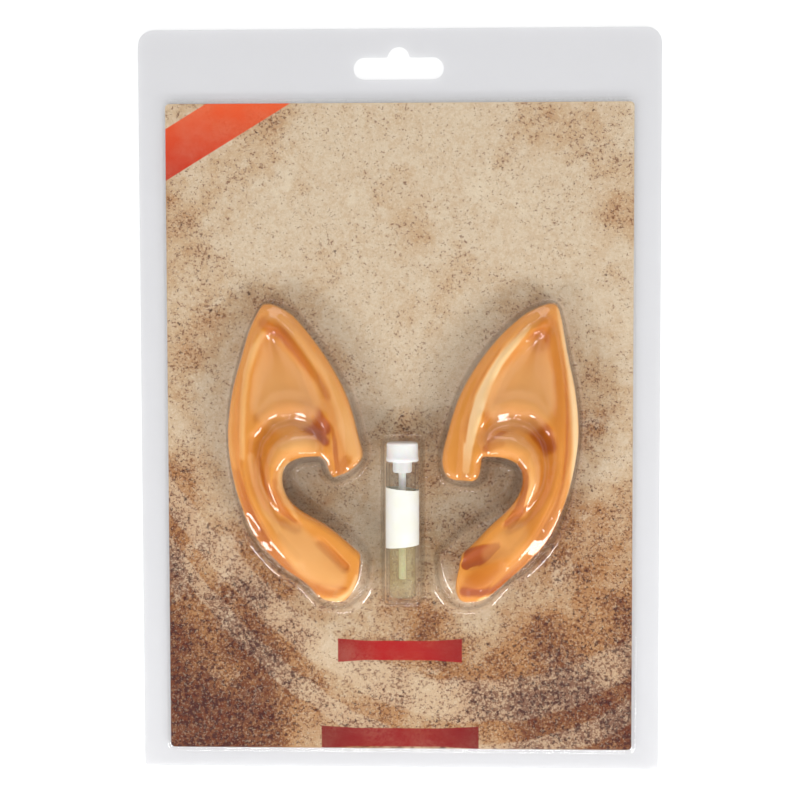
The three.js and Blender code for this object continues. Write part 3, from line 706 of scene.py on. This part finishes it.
def hex_grid(left, bottom, right, top, step):
    """Points in rows that lie between each other, as in a honeycomb."""
    columns = np.arange(left, right + step, step)
    rows = np.arange(bottom, top + step, step * math.sqrt(3) / 2)
    return np.array([(x + (i % 2) * step / 2, y) for i, y in enumerate(rows) for x in columns])


# %% The pocket over an ear
# Shares of the way from an ear's edge out to the pocket's foot, and the share of the height left there.
WALL_AT = np.array([0, 0.15, 0.3, 0.45, 0.56, 0.65, 0.74, 0.85, 1.0, 1.2, 1.5])
WALL_LEFT = np.array([0.935, 0.86, 0.75, 0.6, 0.44, 0.3, 0.2, 0.12, 0.06, 0.015, 0.0])
# Inside the ear's edge the film rolls over softly: millimetres inwards, and the share of the height there.
ROLL_AT = np.array([0, 0.8, 1.6, 2.4, 3.4])
ROLL_LEFT = np.array([0.935, 0.965, 0.985, 0.996, 1.0])
# How far the foot lies from the ear's edge, and where it lies farther out or nearer: a place in shares
# of the ear, the change in millimetres and the reach of the change.
FOOT_DISTANCE = 1.8
FOOT_CHANGES = ((0.4, 0.42, 2.4, 12), (0.7, 0.12, 2.4, 24), (0.85, 1.0, -0.6, 10),
                (0.12, 0.05, 3.2, 10), (0.15, 0.4, 1.4, 10))
FILM_OVER_EAR = 0.8
POCKET_EARS = [{**ear, "splay": 8.0, "folds": FOLDS} for ear in EARS.values()]


def ear_border(ear):
    inner, outer, _ = section_ends(ear, np.linspace(0, LAST_SECTION, 500))
    loop = np.concatenate([inner, outer[::-1]])
    x, y = loop.T
    if (x * np.roll(y, -1) - np.roll(x, -1) * y).sum() < 0:
        loop = loop[::-1]
    return resampled(softened(resampled(loop, 0.5), 14), 0.55)


for ear in POCKET_EARS:
    ear["border"] = ear_border(ear)


def foot_distance(points):
    found = np.full(len(points), FOOT_DISTANCE)
    for x, y, change, reach in FOOT_CHANGES:
        away = np.hypot(points[:, 0] - x * EAR_WIDTH, points[:, 1] - y * EAR_HEIGHT)
        found += change * np.exp(-((away / reach) ** 2))
    return found


def film_over(points):
    """The height of the film over the ear, eased over the folds below it."""
    ear = POCKET_EARS[0]
    found = height_near(ear, points, 1.6, np.maximum)
    for angle in np.arange(6) * math.pi / 3:
        aside = 1.2 * np.array([math.cos(angle), math.sin(angle)])
        found += height_near(ear, points + aside, 1.6, np.maximum)
    return found / 7 + FILM_OVER_EAR


def ear_pocket_height(ear, points):
    """How high the film stands over its flat level, at points of the ear's own frame."""
    found = np.zeros(len(points))
    box = (points > -9).all(1) & (points < (EAR_WIDTH + 9, EAR_HEIGHT + 9)).all(1)
    p = points[box]
    distance, nearest = nearest_on_loop(ear["border"], p)
    inside = distance < 0
    full = film_over(np.where(inside[:, None], p, nearest)) + SEAT - PANEL_TOP
    out = distance / foot_distance(nearest)
    share = np.where(inside, np.interp(-distance, ROLL_AT, ROLL_LEFT), np.interp(out, WALL_AT, WALL_LEFT))
    found[box] = full * share
    return found


def ear_pocket_points(ear):
    """Points for the sheet: along the edge, up the wall and over the ear."""
    border = ear["border"]
    grid = hex_grid(0, 0, EAR_WIDTH, EAR_HEIGHT, 0.8)
    kept = [grid[nearest_on_loop(border, grid)[0] < -1.6]]
    ahead, behind = np.roll(border, -3, 0), np.roll(border, 3, 0)
    along = (ahead - behind) / np.hypot(*(ahead - behind).T)[:, None]
    out = np.stack([along[:, 1], -along[:, 0]], 1)
    reach = foot_distance(border)
    for share in (-1.2, -0.6):
        ring = border + out * share
        kept.append(ring[nearest_on_loop(border, ring)[0] < share + 0.05])
    for share in (0, 0.08, 0.22, 0.38, *WALL_AT[1:], 0.51, 0.605, 0.695, 0.79, 0.92, 1.1, 1.35, 2.0):
        ring = border + out * (share * reach)[:, None]
        distance, nearest = nearest_on_loop(border, ring)
        kept.append(ring[distance / foot_distance(nearest) > share - 0.03])
    return np.vstack(kept)


# %% The pocket over the vial
VIAL_BOTTOM = CARD_BOTTOM_EDGE + 54.2
VIAL_X = 1.3
VIAL_CENTRE, VIAL_HALF, VIAL_CORNER = np.array([VIAL_X, VIAL_BOTTOM + 28.55]), (6.25, 28.55), 1.2
VIAL_POCKET_TOP = 14.8
VIAL_WALL_AT = np.array([-1, -0.3, 0, 0.25, 0.8, 1.4, 1.75, 2.2])
VIAL_WALL_LEFT = np.array([1, 0.985, 0.95, 0.87, 0.5, 0.15, 0.04, 0])


def vial_pocket_height(points):
    distance = rounded_box_distance(points, VIAL_CENTRE, VIAL_HALF, VIAL_CORNER)
    return (VIAL_POCKET_TOP - PANEL_TOP) * np.interp(distance, VIAL_WALL_AT, VIAL_WALL_LEFT)


# %% The flat parts, and the height of the whole sheet
CARD_MIDDLE = np.array([0, CARD_BOTTOM_EDGE + CARD_HEIGHT / 2])
CARD_HALF = (CARD_WIDTH / 2, CARD_HEIGHT / 2)
STEP_AT = np.array([0.2, 0.5, 0.8, 1.1, 1.5])
STEP_TOP = np.array([PANEL_TOP, 2.1, 1.8, 1.4, FLANGE_TOP])


def film_height(points):
    step = rounded_box_distance(points, CARD_MIDDLE, CARD_HALF, 1.5)
    height = np.interp(step, STEP_AT, STEP_TOP) + vial_pocket_height(points)
    for ear in POCKET_EARS:
        height += ear_pocket_height(ear, own_plan(ear, points))
    return height


def slot_loop(growth, step):
    """The hanging slot: a long hole with round ends and a round notch at the middle of its upper side."""
    end, notch, rise = 3.9, 3.9, 3.7
    radius = (notch**2 + rise**2) / (2 * rise)
    centre = end + rise - radius
    first = math.degrees(math.atan2(end - centre, notch))
    arcs = ((SLOT_SIDE, 0, end, -90, 90), (0, centre, radius, first, 180 - first),
            (-SLOT_SIDE, 0, end, 90, 270))
    points = []
    for x, y, r, low, high in arcs:
        for angle in np.radians(np.linspace(low, high, 25)):
            out = (r + growth) * np.array([math.cos(angle), math.sin(angle)])
            points.append(out + (x, SLOT_MIDDLE + y))
    return resampled(np.array(points), step)


def pack_loop(inset):
    """The pack's outline, whose upper corners are rounder than its lower ones."""
    points = []
    for turn, (sx, sy, corner) in enumerate(((1, 1, 5.5), (-1, 1, 5.5), (-1, -1, 1.2), (1, -1, 1.2))):
        middle = np.array([sx * (PACK_WIDTH / 2 - corner), sy * (PACK_HEIGHT / 2 - corner)])
        for angle in np.linspace(turn, turn + 1, 9) * math.pi / 2:
            points.append(middle + max(corner - inset, 0.2) * np.array([math.cos(angle), math.sin(angle)]))
    return resampled(np.array(points), 2.0)


# %% Sheets of film
def sheet_object(name, loose, height, thickness, material):
    """A sheet cut to the pack's outline, with the hanging slot, over loose points, with a wall under it."""
    outline, slot = pack_loop(0), slot_loop(0, 0.9)
    loops = np.vstack([outline, slot])
    edges = []
    for start, count in ((0, len(outline)), (len(outline), len(slot))):
        edges += [(start + i, start + (i + 1) % count) for i in range(count)]
    points = np.vstack([loops, loose])
    flat, _, faces, *_ = delaunay_2d_cdt([Vector(p) for p in points], edges, [], 0, 1e-4)
    flat = np.array([tuple(p) for p in flat])
    faces = np.array([f for f in faces if len(f) == 3])
    middle = flat[faces].mean(1)
    outside, hole = nearest_on_loop(outline, middle)[0] > 0, nearest_on_loop(slot, middle)[0] < 0
    faces = faces[~(outside | hole)]
    used = np.unique(faces)
    renumber = np.full(len(flat), -1)
    renumber[used] = np.arange(len(used))
    faces, flat = renumber[faces], flat[used]
    a, b, c = (flat[faces[:, k]] for k in range(3))
    wrong = (b[:, 0] - a[:, 0]) * (c[:, 1] - a[:, 1]) < (b[:, 1] - a[:, 1]) * (c[:, 0] - a[:, 0])
    faces[wrong] = faces[wrong][:, ::-1]
    top = np.column_stack([flat, height(flat)])
    corner = top[faces]
    normal = np.cross(corner[:, 1] - corner[:, 0], corner[:, 2] - corner[:, 0])
    at_points = np.zeros_like(top)
    for k in range(3):
        np.add.at(at_points, faces[:, k], normal)
    at_points /= np.linalg.norm(at_points, axis=1)[:, None]
    under = top - at_points * thickness
    count = len(top)
    sides = np.concatenate([faces[:, [0, 1]], faces[:, [1, 2]], faces[:, [2, 0]]])
    known = {tuple(edge) for edge in sides.tolist()}
    rim = [(a, b) for a, b in known if (b, a) not in known]
    all_faces = faces.tolist() + (faces[:, ::-1] + count).tolist()
    all_faces += [(b, a, a + count, b + count) for a, b in rim]
    obj = new_object(name, np.vstack([top, under]), all_faces, material)
    print(name, "triangles:", 2 * len(faces) + 2 * len(rim))
    return obj

# %% [markdown]
# ## Clear plastic
#
# Thin film is best drawn as a see-through shader mixed with a glossy one by Fresnel, because light then
# passes straight through it and still lights what lies under it. A slow, faint bump bends the reflections
# as formed film does.

# %% Film
EDGE_TINT = (0.8, 0.8, 0.82)


def clear_material(name, tint, roughness, wave_size, wave_strength, haze, head_on):
    """Clear plastic with a tint, a share of haze, and a mirror as strong as head_on when seen head on."""
    material, tree = new_material(name)
    wave = tree.bump(tree.noise(wave_size, detail=2), wave_strength, 0.4)
    facing = tree.named(tree.node("LayerWeight", Blend=0.5, Normal=wave), "Facing")
    mirror = facing**5.0 * (1 - head_on) + head_on
    # a wall seen along its length swallows more light
    through = tree.out("BsdfTransparent", Color=tree.mix(facing**2.5, tint, EDGE_TINT))
    cloudy = tree.out("BsdfDiffuse", Color=(0.9, 0.9, 0.92))
    gloss = tree.out("BsdfGlossy", Roughness=roughness, Normal=wave)
    patchy = tree.noise(20).ranged(0.3, 0.7, haze * 0.6, haze * 1.4)
    tree.surface(tree.mixed_shader(mirror, tree.mixed_shader(patchy, through, cloudy), gloss))
    return material


FILM_CLEAR = clear_material("clear_film", (0.986, 0.986, 0.988), 0.03, 26, 0.05, 0.003, head_on=0.03)

# %% The front film and the back sheet
def film_points():
    grid = hex_grid(-PACK_WIDTH / 2, -PACK_HEIGHT / 2, PACK_WIDTH / 2, PACK_HEIGHT / 2, 4.5)
    points = []
    for ear in POCKET_EARS:
        pocket = ear_pocket_points(ear)
        points.append(placed(ear, np.column_stack([pocket, np.zeros(len(pocket))]))[:, :2])
    for growth in (-3, -1, -0.6, *VIAL_WALL_AT[1:], 1.1, 1.58, 2.8):
        points.append(rounded_box_loop(VIAL_CENTRE, VIAL_HALF, VIAL_CORNER, growth, 0.8))
    for growth in (-0.4, *STEP_AT, 2.2):
        points.append(rounded_box_loop(CARD_MIDDLE, CARD_HALF, 1.5, growth, 1.6))
    points = np.vstack(points)
    flat = np.ones(len(grid), bool)
    for ear in POCKET_EARS:
        distance, nearest = nearest_on_loop(ear["border"], own_plan(ear, grid))
        flat &= distance > 2.2 * foot_distance(nearest) + 0.5
    flat &= rounded_box_distance(grid, VIAL_CENTRE, VIAL_HALF, VIAL_CORNER) > 4
    flat &= np.abs(rounded_box_distance(grid, CARD_MIDDLE, CARD_HALF, 1.5)) > 3
    points = np.vstack([points, grid[flat], pack_loop(0.5), slot_loop(0.5, 1.2)])
    inside = nearest_on_loop(pack_loop(0), points)[0] < -0.3
    clear_of_slot = nearest_on_loop(slot_loop(0, 0.9), points)[0] > 0.3
    points = points[inside & clear_of_slot]
    return np.unique(points.round(3), axis=0)


for name, ear in EARS.items():
    shown = placed(ear, ear_rings(ear, 0.0)[::4].reshape(-1, 3))
    gap = film_height(shown[:, :2]) - FILM_SHOWN - shown[:, 2]
    place = own_plan(ear, shown[gap.argmin()][None, :2])[0].round(1)
    print(name, "least gap under the film:", round(float(gap.min()), 2), "mm, at", place)
    print(name, "share of points nearer than 0.1 mm:", round(float((gap < 0.1).mean()), 4))

film = sheet_object("formed_film", film_points(), film_height, FILM_SHOWN, FILM_CLEAR)
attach(film, "root")
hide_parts("front_blister")


def dress(node, material):
    """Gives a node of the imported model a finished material."""
    obj = bpy.data.objects[node]
    obj.material_slots[0].material = material


dress("back_sheet", FILM_CLEAR)

# %% [markdown]
# ## The card
#
# The card is printed to look like old parchment: sand-coloured, with soft brown stains, worn pale patches
# and a dense spray of dark specks that grows thicker towards the bottom. Noises of different sizes on the
# card's own coordinates make each of these, because they cost no picture and give the same marks each
# time. Plain red ribbons and a red band across one corner are drawn over them, each as a test of where a
# point of the card lies.

# %% Parchment
# Where the sides and the bottom begin to darken and where they are darkest, in metres from the card's middle
SIDE_FROM, SIDE_FULL, LOW_FROM, LOW_FULL = 0.025, 0.083, 0.01, -0.12
# Grains: size in millimetres, how rare they are, how strong, and their colour
GRAINS = ((0.9, 0.73, 0.7, (104, 62, 36)), (1.7, 0.81, 0.8, (74, 42, 24)))
# Pale strokes across the bottom: level and half width
STROKES = ((-0.1, 0.008), (-0.12, 0.005))


def parchment(tree, x, y, soft):
    """The bare parchment's colour."""
    low = y.ranged(LOW_FROM, LOW_FULL, 0, 1, smooth=True)
    left, right = (x.ranged(sign * SIDE_FROM, sign * SIDE_FULL) for sign in (-1, 1))
    # how old the parchment looks: older towards its sides and its bottom, and in clouds
    clouds = (tree.noise(42, 8, 0.66) - 0.5) * 2.6
    age = clouds + low * 0.54 + low * left * 0.5 + low * right * 0.2 + left * 0.2 + right * 0.1
    age = age.ranged(0, 1)
    colour = tree.ramp(age, (0.0, linear(205, 188, 163)), (0.25, linear(192, 165, 133)),
                       (0.55, linear(170, 124, 84)), (1.0, linear(114, 68, 36)))
    mottle = tree.noise(2.4, 6, 0.75).ranged(0.42, 0.62)
    colour = tree.mix(mottle * 0.42, colour, linear(178, 144, 108))
    # pale worn patches
    worn = tree.noise(24, 9, 0.72, 0.6).ranged(0.57, 0.66)
    colour = tree.mix(worn * 0.45, colour, linear(219, 206, 182))
    # pale broad strokes across the bottom, curving away like the folds of a faded banner
    level = y - (x * x * 6.0 + x * -0.35) + soft * 0.006
    strokes = [abs(level - middle).ranged(half, half * 0.8) for middle, half in STROKES]
    colour = tree.mix(tree.math("MAXIMUM", *strokes) * 0.5, colour, linear(206, 184, 156))
    # grains: the older the parchment, the more of them
    thick = age + tree.noise(16, 5) * 0.9
    for size, rare, strength, grain in GRAINS:
        speck = (tree.noise(size, 3, 0.65) + thick * 0.2).ranged(rare - 0.04, rare + 0.03)
        colour = tree.mix(speck * strength, colour, linear(*grain))
    dust = tree.noise(0.8, 2, 0.6).ranged(0.56, 0.63) * age.ranged(0.2, 1.0, 0.4, 0.2)
    return tree.mix(dust, colour, linear(216, 200, 172))


print("grains:", [grain[0] for grain in GRAINS], "mm")

# %% Red band and ribbons
# The band lies between two slanted lines at the upper left: its corner, its slope and its edges, in metres
BAND_TOP, BAND_LEFT, BAND_SLOPE, BAND_EDGES = 0.106, 0.083, 1.64, (0.0145, 0.0445)
# Each ribbon's level, half length, half height and red
RIBBONS = ((-0.0894, 0.0223, 0.0043, (172, 48, 22)), (-0.121, 0.0283, 0.0041, (146, 42, 20)))
RIBBON_SOFT = 0.00015


def add_reds(tree, colour, x, y, soft):
    """The corner's band and the ribbons over a colour, a little worn."""
    wear = soft.ranged(0.38, 0.62, 0.88, 1)
    down = BAND_TOP - y
    reach = x + BAND_LEFT + down * BAND_SLOPE
    band = reach.above(BAND_EDGES[0]) * (1 - reach.above(BAND_EDGES[1]))
    red = tree.ramp(down.ranged(0, 0.026), (0.0, linear(222, 96, 60)), (1.0, linear(186, 64, 42)))
    colour = tree.mix(band * wear, colour, red)
    # long bars, waisted like a bow towards the middle and darker towards their ends
    along = abs(x)
    for level, half_long, half_high, tone in RIBBONS:
        flare = along.ranged(half_long * 0.55, half_long, half_high * 0.82, half_high)
        inside = (flare - abs(y - level)).above(0, RIBBON_SOFT) * (1 - along.above(half_long, RIBBON_SOFT))
        red = tree.ramp(along.ranged(0, half_long), (0.3, linear(*tone)),
                        (1.0, linear(*(0.86 * part for part in tone))))
        colour = tree.mix(inside * wear, colour, red)
    return colour


def card_material():
    material, tree = new_material("parchment_print")
    x, y, z = tree.split(tree.point())
    soft = tree.noise(13, 7)
    colour = add_reds(tree, parchment(tree, x, y, soft), x, y, soft)
    # the back of the card is plain grey board
    printed = z.above((CARD_UNDERSIDE + 0.1) * MM, 0.00005)
    tree.surface(tree.out(
        "BsdfPrincipled", IOR=1.45, Specular_IOR_Level=0.2, Roughness=soft.ranged(0.3, 0.7, 0.5, 0.62),
        Base_Color=tree.mix(printed, linear(196, 190, 180), colour),
        Normal=tree.bump(tree.noise(0.8, 2), 0.05, 0.05)))
    return material


dress("card", card_material())
print("ribbons:", len(RIBBONS))

# %% [markdown]
# ## The vial
#
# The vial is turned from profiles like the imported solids, with finer rounds: a clear tube with a domed
# bottom, pale glue in it, a white cap with its plug and thin rod, and a cream label whose ends were cut a
# little aslant.

# %% Turned pieces
VIAL_RADIUS, VIAL_LENGTH, VIAL_WALL = 5.75, 50.0, 0.9
LABEL_RADIUS = VIAL_RADIUS + 0.5
VIAL_LEVEL = SEAT + LABEL_RADIUS


def turned(name, profile, material, node, closed=False, shape=None, sides=72):
    """A body turned from a profile of radius and length, laid along the vial's axis."""
    rings, points = [], []
    for radius, y in profile:
        count = 1 if radius == 0 else sides
        rings.append((len(points), count))
        for i in range(count):
            turn = 2 * math.pi * i / sides
            points.append((radius * math.sin(turn), y, radius * math.cos(turn)))
    faces = []
    for k in range(len(rings) - (0 if closed else 1)):
        (a, na), (b, nb) = rings[k], rings[(k + 1) % len(rings)]
        for i in range(sides):
            n = (i + 1) % sides
            if na > 1 and nb > 1:
                faces.append((a + i, a + n, b + n, b + i))
            elif nb > 1:
                faces.append((a, b + n, b + i))
            elif na > 1:
                faces.append((a + i, a + n, b))
    points = np.array(points)
    if shape:
        points = shape(points)
    obj = new_object(name, points + (VIAL_X, VIAL_BOTTOM, VIAL_LEVEL), faces, material)
    turn_outwards(obj)
    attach(obj, "root")
    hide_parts(node)
    print(name, "faces:", len(faces))


def rounded(radius, y, corner, outwards, steps=6):
    """A quarter round from the flat at a level to a side at a radius."""
    turns = np.linspace(0, math.pi / 2, steps)
    inner = radius - corner
    return [(inner + corner * math.sin(t), y + outwards * corner * (1 - math.cos(t))) for t in turns]


# %% Its materials
GLASS_CLEAR = clear_material("clear_vial", (0.985, 0.99, 0.985), 0.03, 9, 0.1, 0.01, head_on=0.02)


def plain_material(name, colour, darker, roughness, size, depth, **inputs):
    """A moulded or papery finish with a faint change of colour and a fine bump."""
    material, tree = new_material(name)
    spots = tree.noise(size).ranged(0.35, 0.65)
    rough = tree.noise(size * 0.4).ranged(0.3, 0.7, roughness * 0.9, roughness * 1.1)
    tree.surface(tree.out(
        "BsdfPrincipled", Base_Color=tree.mix(spots, darker, colour), Roughness=rough,
        Normal=tree.bump(tree.noise(size * 0.2, 2), depth, 0.1), **inputs))
    return material


WHITE_CAP = plain_material("white_cap", linear(244, 243, 240), linear(232, 231, 226), 0.32, 6, 0.05,
                           IOR=1.5, Subsurface_Weight=0.2, Subsurface_Scale=0.002)
CREAM_PAPER = plain_material("cream_paper", linear(250, 246, 232), linear(242, 238, 222), 0.6, 5, 0.15,
                             IOR=1.4)


def glue_material():
    """A pale liquid that lets most light through it past a thin milky cloud."""
    material, tree = new_material("milky_glue")
    cloud = tree.noise(7, 5)
    milky = tree.mix(cloud.ranged(0.35, 0.65), linear(200, 176, 132), linear(228, 210, 174))
    through = tree.out("BsdfTransparent", Color=linear(250, 244, 224))
    share = cloud.ranged(0.3, 0.7, 0.12, 0.26)
    tree.surface(tree.mixed_shader(share, through, tree.out("BsdfDiffuse", Color=milky)))
    return material


GLUE = glue_material()
print("materials:", len(bpy.data.materials))

# %% The tube and the glue
# Levels in millimetres over the vial's lower end
BORE = VIAL_RADIUS - VIAL_WALL
TUBE_FLOOR, GLUE_FLOOR, GLUE_TOP = 1.8, 2.1, 2.1 + (VIAL_LENGTH - 6.1) * 0.86
GLUE_RADIUS = BORE - 0.3
ROD_ROOM, ROD_ROOM_END = 1.6, 8.3

turned("vial_tube",
       [(0, 0.25), (VIAL_RADIUS - 2.4, 0.15), *rounded(VIAL_RADIUS, 0.1, 1.3, 1),
        (VIAL_RADIUS, VIAL_LENGTH - 0.4), (VIAL_RADIUS - 0.3, VIAL_LENGTH), (BORE, VIAL_LENGTH),
        *rounded(BORE, TUBE_FLOOR, 1.1, 1)[::-1], (0, TUBE_FLOOR - 0.1)],
       GLASS_CLEAR, "vial_glass")
turned("vial_liquid",
       [(0, GLUE_FLOOR), *rounded(GLUE_RADIUS, GLUE_FLOOR, 1.0, 1), (GLUE_RADIUS, GLUE_TOP),
        (BORE - 0.9, GLUE_TOP - 0.25), (ROD_ROOM, GLUE_TOP - 0.35), (ROD_ROOM, ROD_ROOM_END),
        (0, ROD_ROOM_END)],
       GLUE, "vial_glue")

# %% The cap and its rod
CAP_UNDER, CAP_TOP = VIAL_LENGTH + 0.3, VIAL_LENGTH + 7.1
PLUG_END, PLUG_RADIUS = CAP_UNDER - 4, 3.4
CAP_SIDE = VIAL_RADIUS - 0.18
ROD_END, ROD_RADIUS = CAP_UNDER - 42, 1.3

turned("vial_stopper",
       [(0, PLUG_END), *rounded(PLUG_RADIUS, PLUG_END, 0.7, 1), (PLUG_RADIUS, CAP_UNDER - 0.6),
        (3.6, CAP_UNDER), (VIAL_RADIUS - 0.3, CAP_UNDER), (VIAL_RADIUS, CAP_UNDER + 0.3),
        (VIAL_RADIUS, CAP_UNDER + 1.4), (CAP_SIDE, CAP_UNDER + 1.6), (CAP_SIDE, CAP_TOP - 1.4),
        *rounded(CAP_SIDE, CAP_TOP, 1.0, -1)[::-1], (0, CAP_TOP)],
       WHITE_CAP, "vial_cap")
turned("vial_rod",
       [(0, ROD_END), *rounded(ROD_RADIUS, ROD_END, 0.5, 1), (ROD_RADIUS, PLUG_END - 0.02),
        (0, PLUG_END - 0.02)],
       WHITE_CAP, "vial_cap")

# %% The label
LABEL_START, LABEL_END, LABEL_SLANT = 20.2, 40.6, 0.62
LABEL_OUTSIDE = VIAL_RADIUS + 0.2
LABEL_INSIDE = LABEL_OUTSIDE - 0.15


def slanted(points):
    """The label's ends, cut aslant: it is longer at its left side."""
    slant = LABEL_SLANT * -points[:, 0] / LABEL_RADIUS
    away = np.sign(points[:, 1] - (LABEL_START + LABEL_END) / 2)
    return points + np.column_stack([0 * slant, away * slant, 0 * slant])


turned("vial_label_wrap",
       [(LABEL_INSIDE, LABEL_START), (LABEL_OUTSIDE, LABEL_START), (LABEL_OUTSIDE, LABEL_END),
        (LABEL_INSIDE, LABEL_END)],
       CREAM_PAPER, "vial_label", closed=True, shape=slanted)

# %% [markdown]
# ## Stage, light and camera
#
# The pack lies on a white table and is seen from straight above. Two tall softboxes at its sides and one
# below light it; they leave the long bright streaks on the film's walls. A wide, faint one above fills
# the shadows.

# %% Table
TABLE_REACH, TABLE_LEVEL = 1500, -0.05


def table():
    material, tree = new_material("white_table")
    cloudy = tree.mix(tree.noise(300), (0.86, 0.86, 0.86), (0.9, 0.9, 0.9))
    tree.surface(tree.out("BsdfPrincipled", Roughness=0.9, Base_Color=cloudy))
    corners = [(x * TABLE_REACH, y * TABLE_REACH, TABLE_LEVEL)
               for x, y in ((-1, -1), (1, -1), (1, 1), (-1, 1))]
    obj = new_object("table", corners, [(0, 1, 2, 3)], material, smooth=False)
    print("table reaches", TABLE_REACH, "mm each way")


table()

# %% Light
# Each softbox: its place, width and height in metres, and its power in watts
SOFTBOXES = {
    "softbox_left": ((-0.72, -0.75, 0.68), 0.36, 0.3, 6.0),
    "softbox_right": ((0.7, -0.76, 0.68), 0.42, 0.33, 7.8),
    "softbox_below": ((0.0, -1.2, 0.75), 0.45, 0.09, 2.4),
    "fill_above": ((0.0, 1.2, 0.75), 0.9, 0.6, 4.0),
}

for name, (place, width, height, power) in SOFTBOXES.items():
    light = bpy.data.lights.new(name, "AREA")
    light.shape, light.size, light.size_y, light.energy = "RECTANGLE", width, height, power
    obj = bpy.data.objects.new(name, light)
    scene.collection.objects.link(obj)
    obj.location = place
    obj.rotation_euler = (-Vector(place)).to_track_quat("-Z", "Y").to_euler()


def studio_world():
    """A bright studio whose ceiling is dimmer than its walls, so flat film turns back little light."""
    world = bpy.data.worlds.new("studio")
    tree = Tree(world)
    background = tree.nodes["Background"]
    tree.plug(background.inputs["Color"], (1, 1, 1))
    height = tree.split(tree.named(tree.node("TexCoord"), "Generated"))[2]
    tree.plug(background.inputs["Strength"], height.ranged(0.8, 0.95, 0.85, 0.24, smooth=True))
    return world


scene.world = studio_world()
scene.cycles.transparent_max_bounces = 32
print("softboxes:", len(SOFTBOXES))

# %% Camera
# Its place in millimetres and its turns in degrees, as they were fitted to the pack's corners and slot
CAMERA_PLACE = (29.4, 44.2, 697.4)
CAMERA_TURNS = (-3.57, 2.39, -0.13)
CAMERA_LENS = 88.1
camera = bpy.data.objects.new("camera", bpy.data.cameras.new("camera"))
scene.collection.objects.link(camera)
turn = Matrix.Identity(4)
for degrees, name in zip(CAMERA_TURNS, "XYZ"):
    turn = Matrix.Rotation(math.radians(degrees), 4, name) @ turn
camera.matrix_world = Matrix.Translation(Vector(CAMERA_PLACE) * MM) @ turn
camera.data.lens, camera.data.sensor_width, camera.data.clip_end = CAMERA_LENS, 36, 10
scene.camera = camera
print("camera at", [round(part, 3) for part in camera.matrix_world.translation], "m")
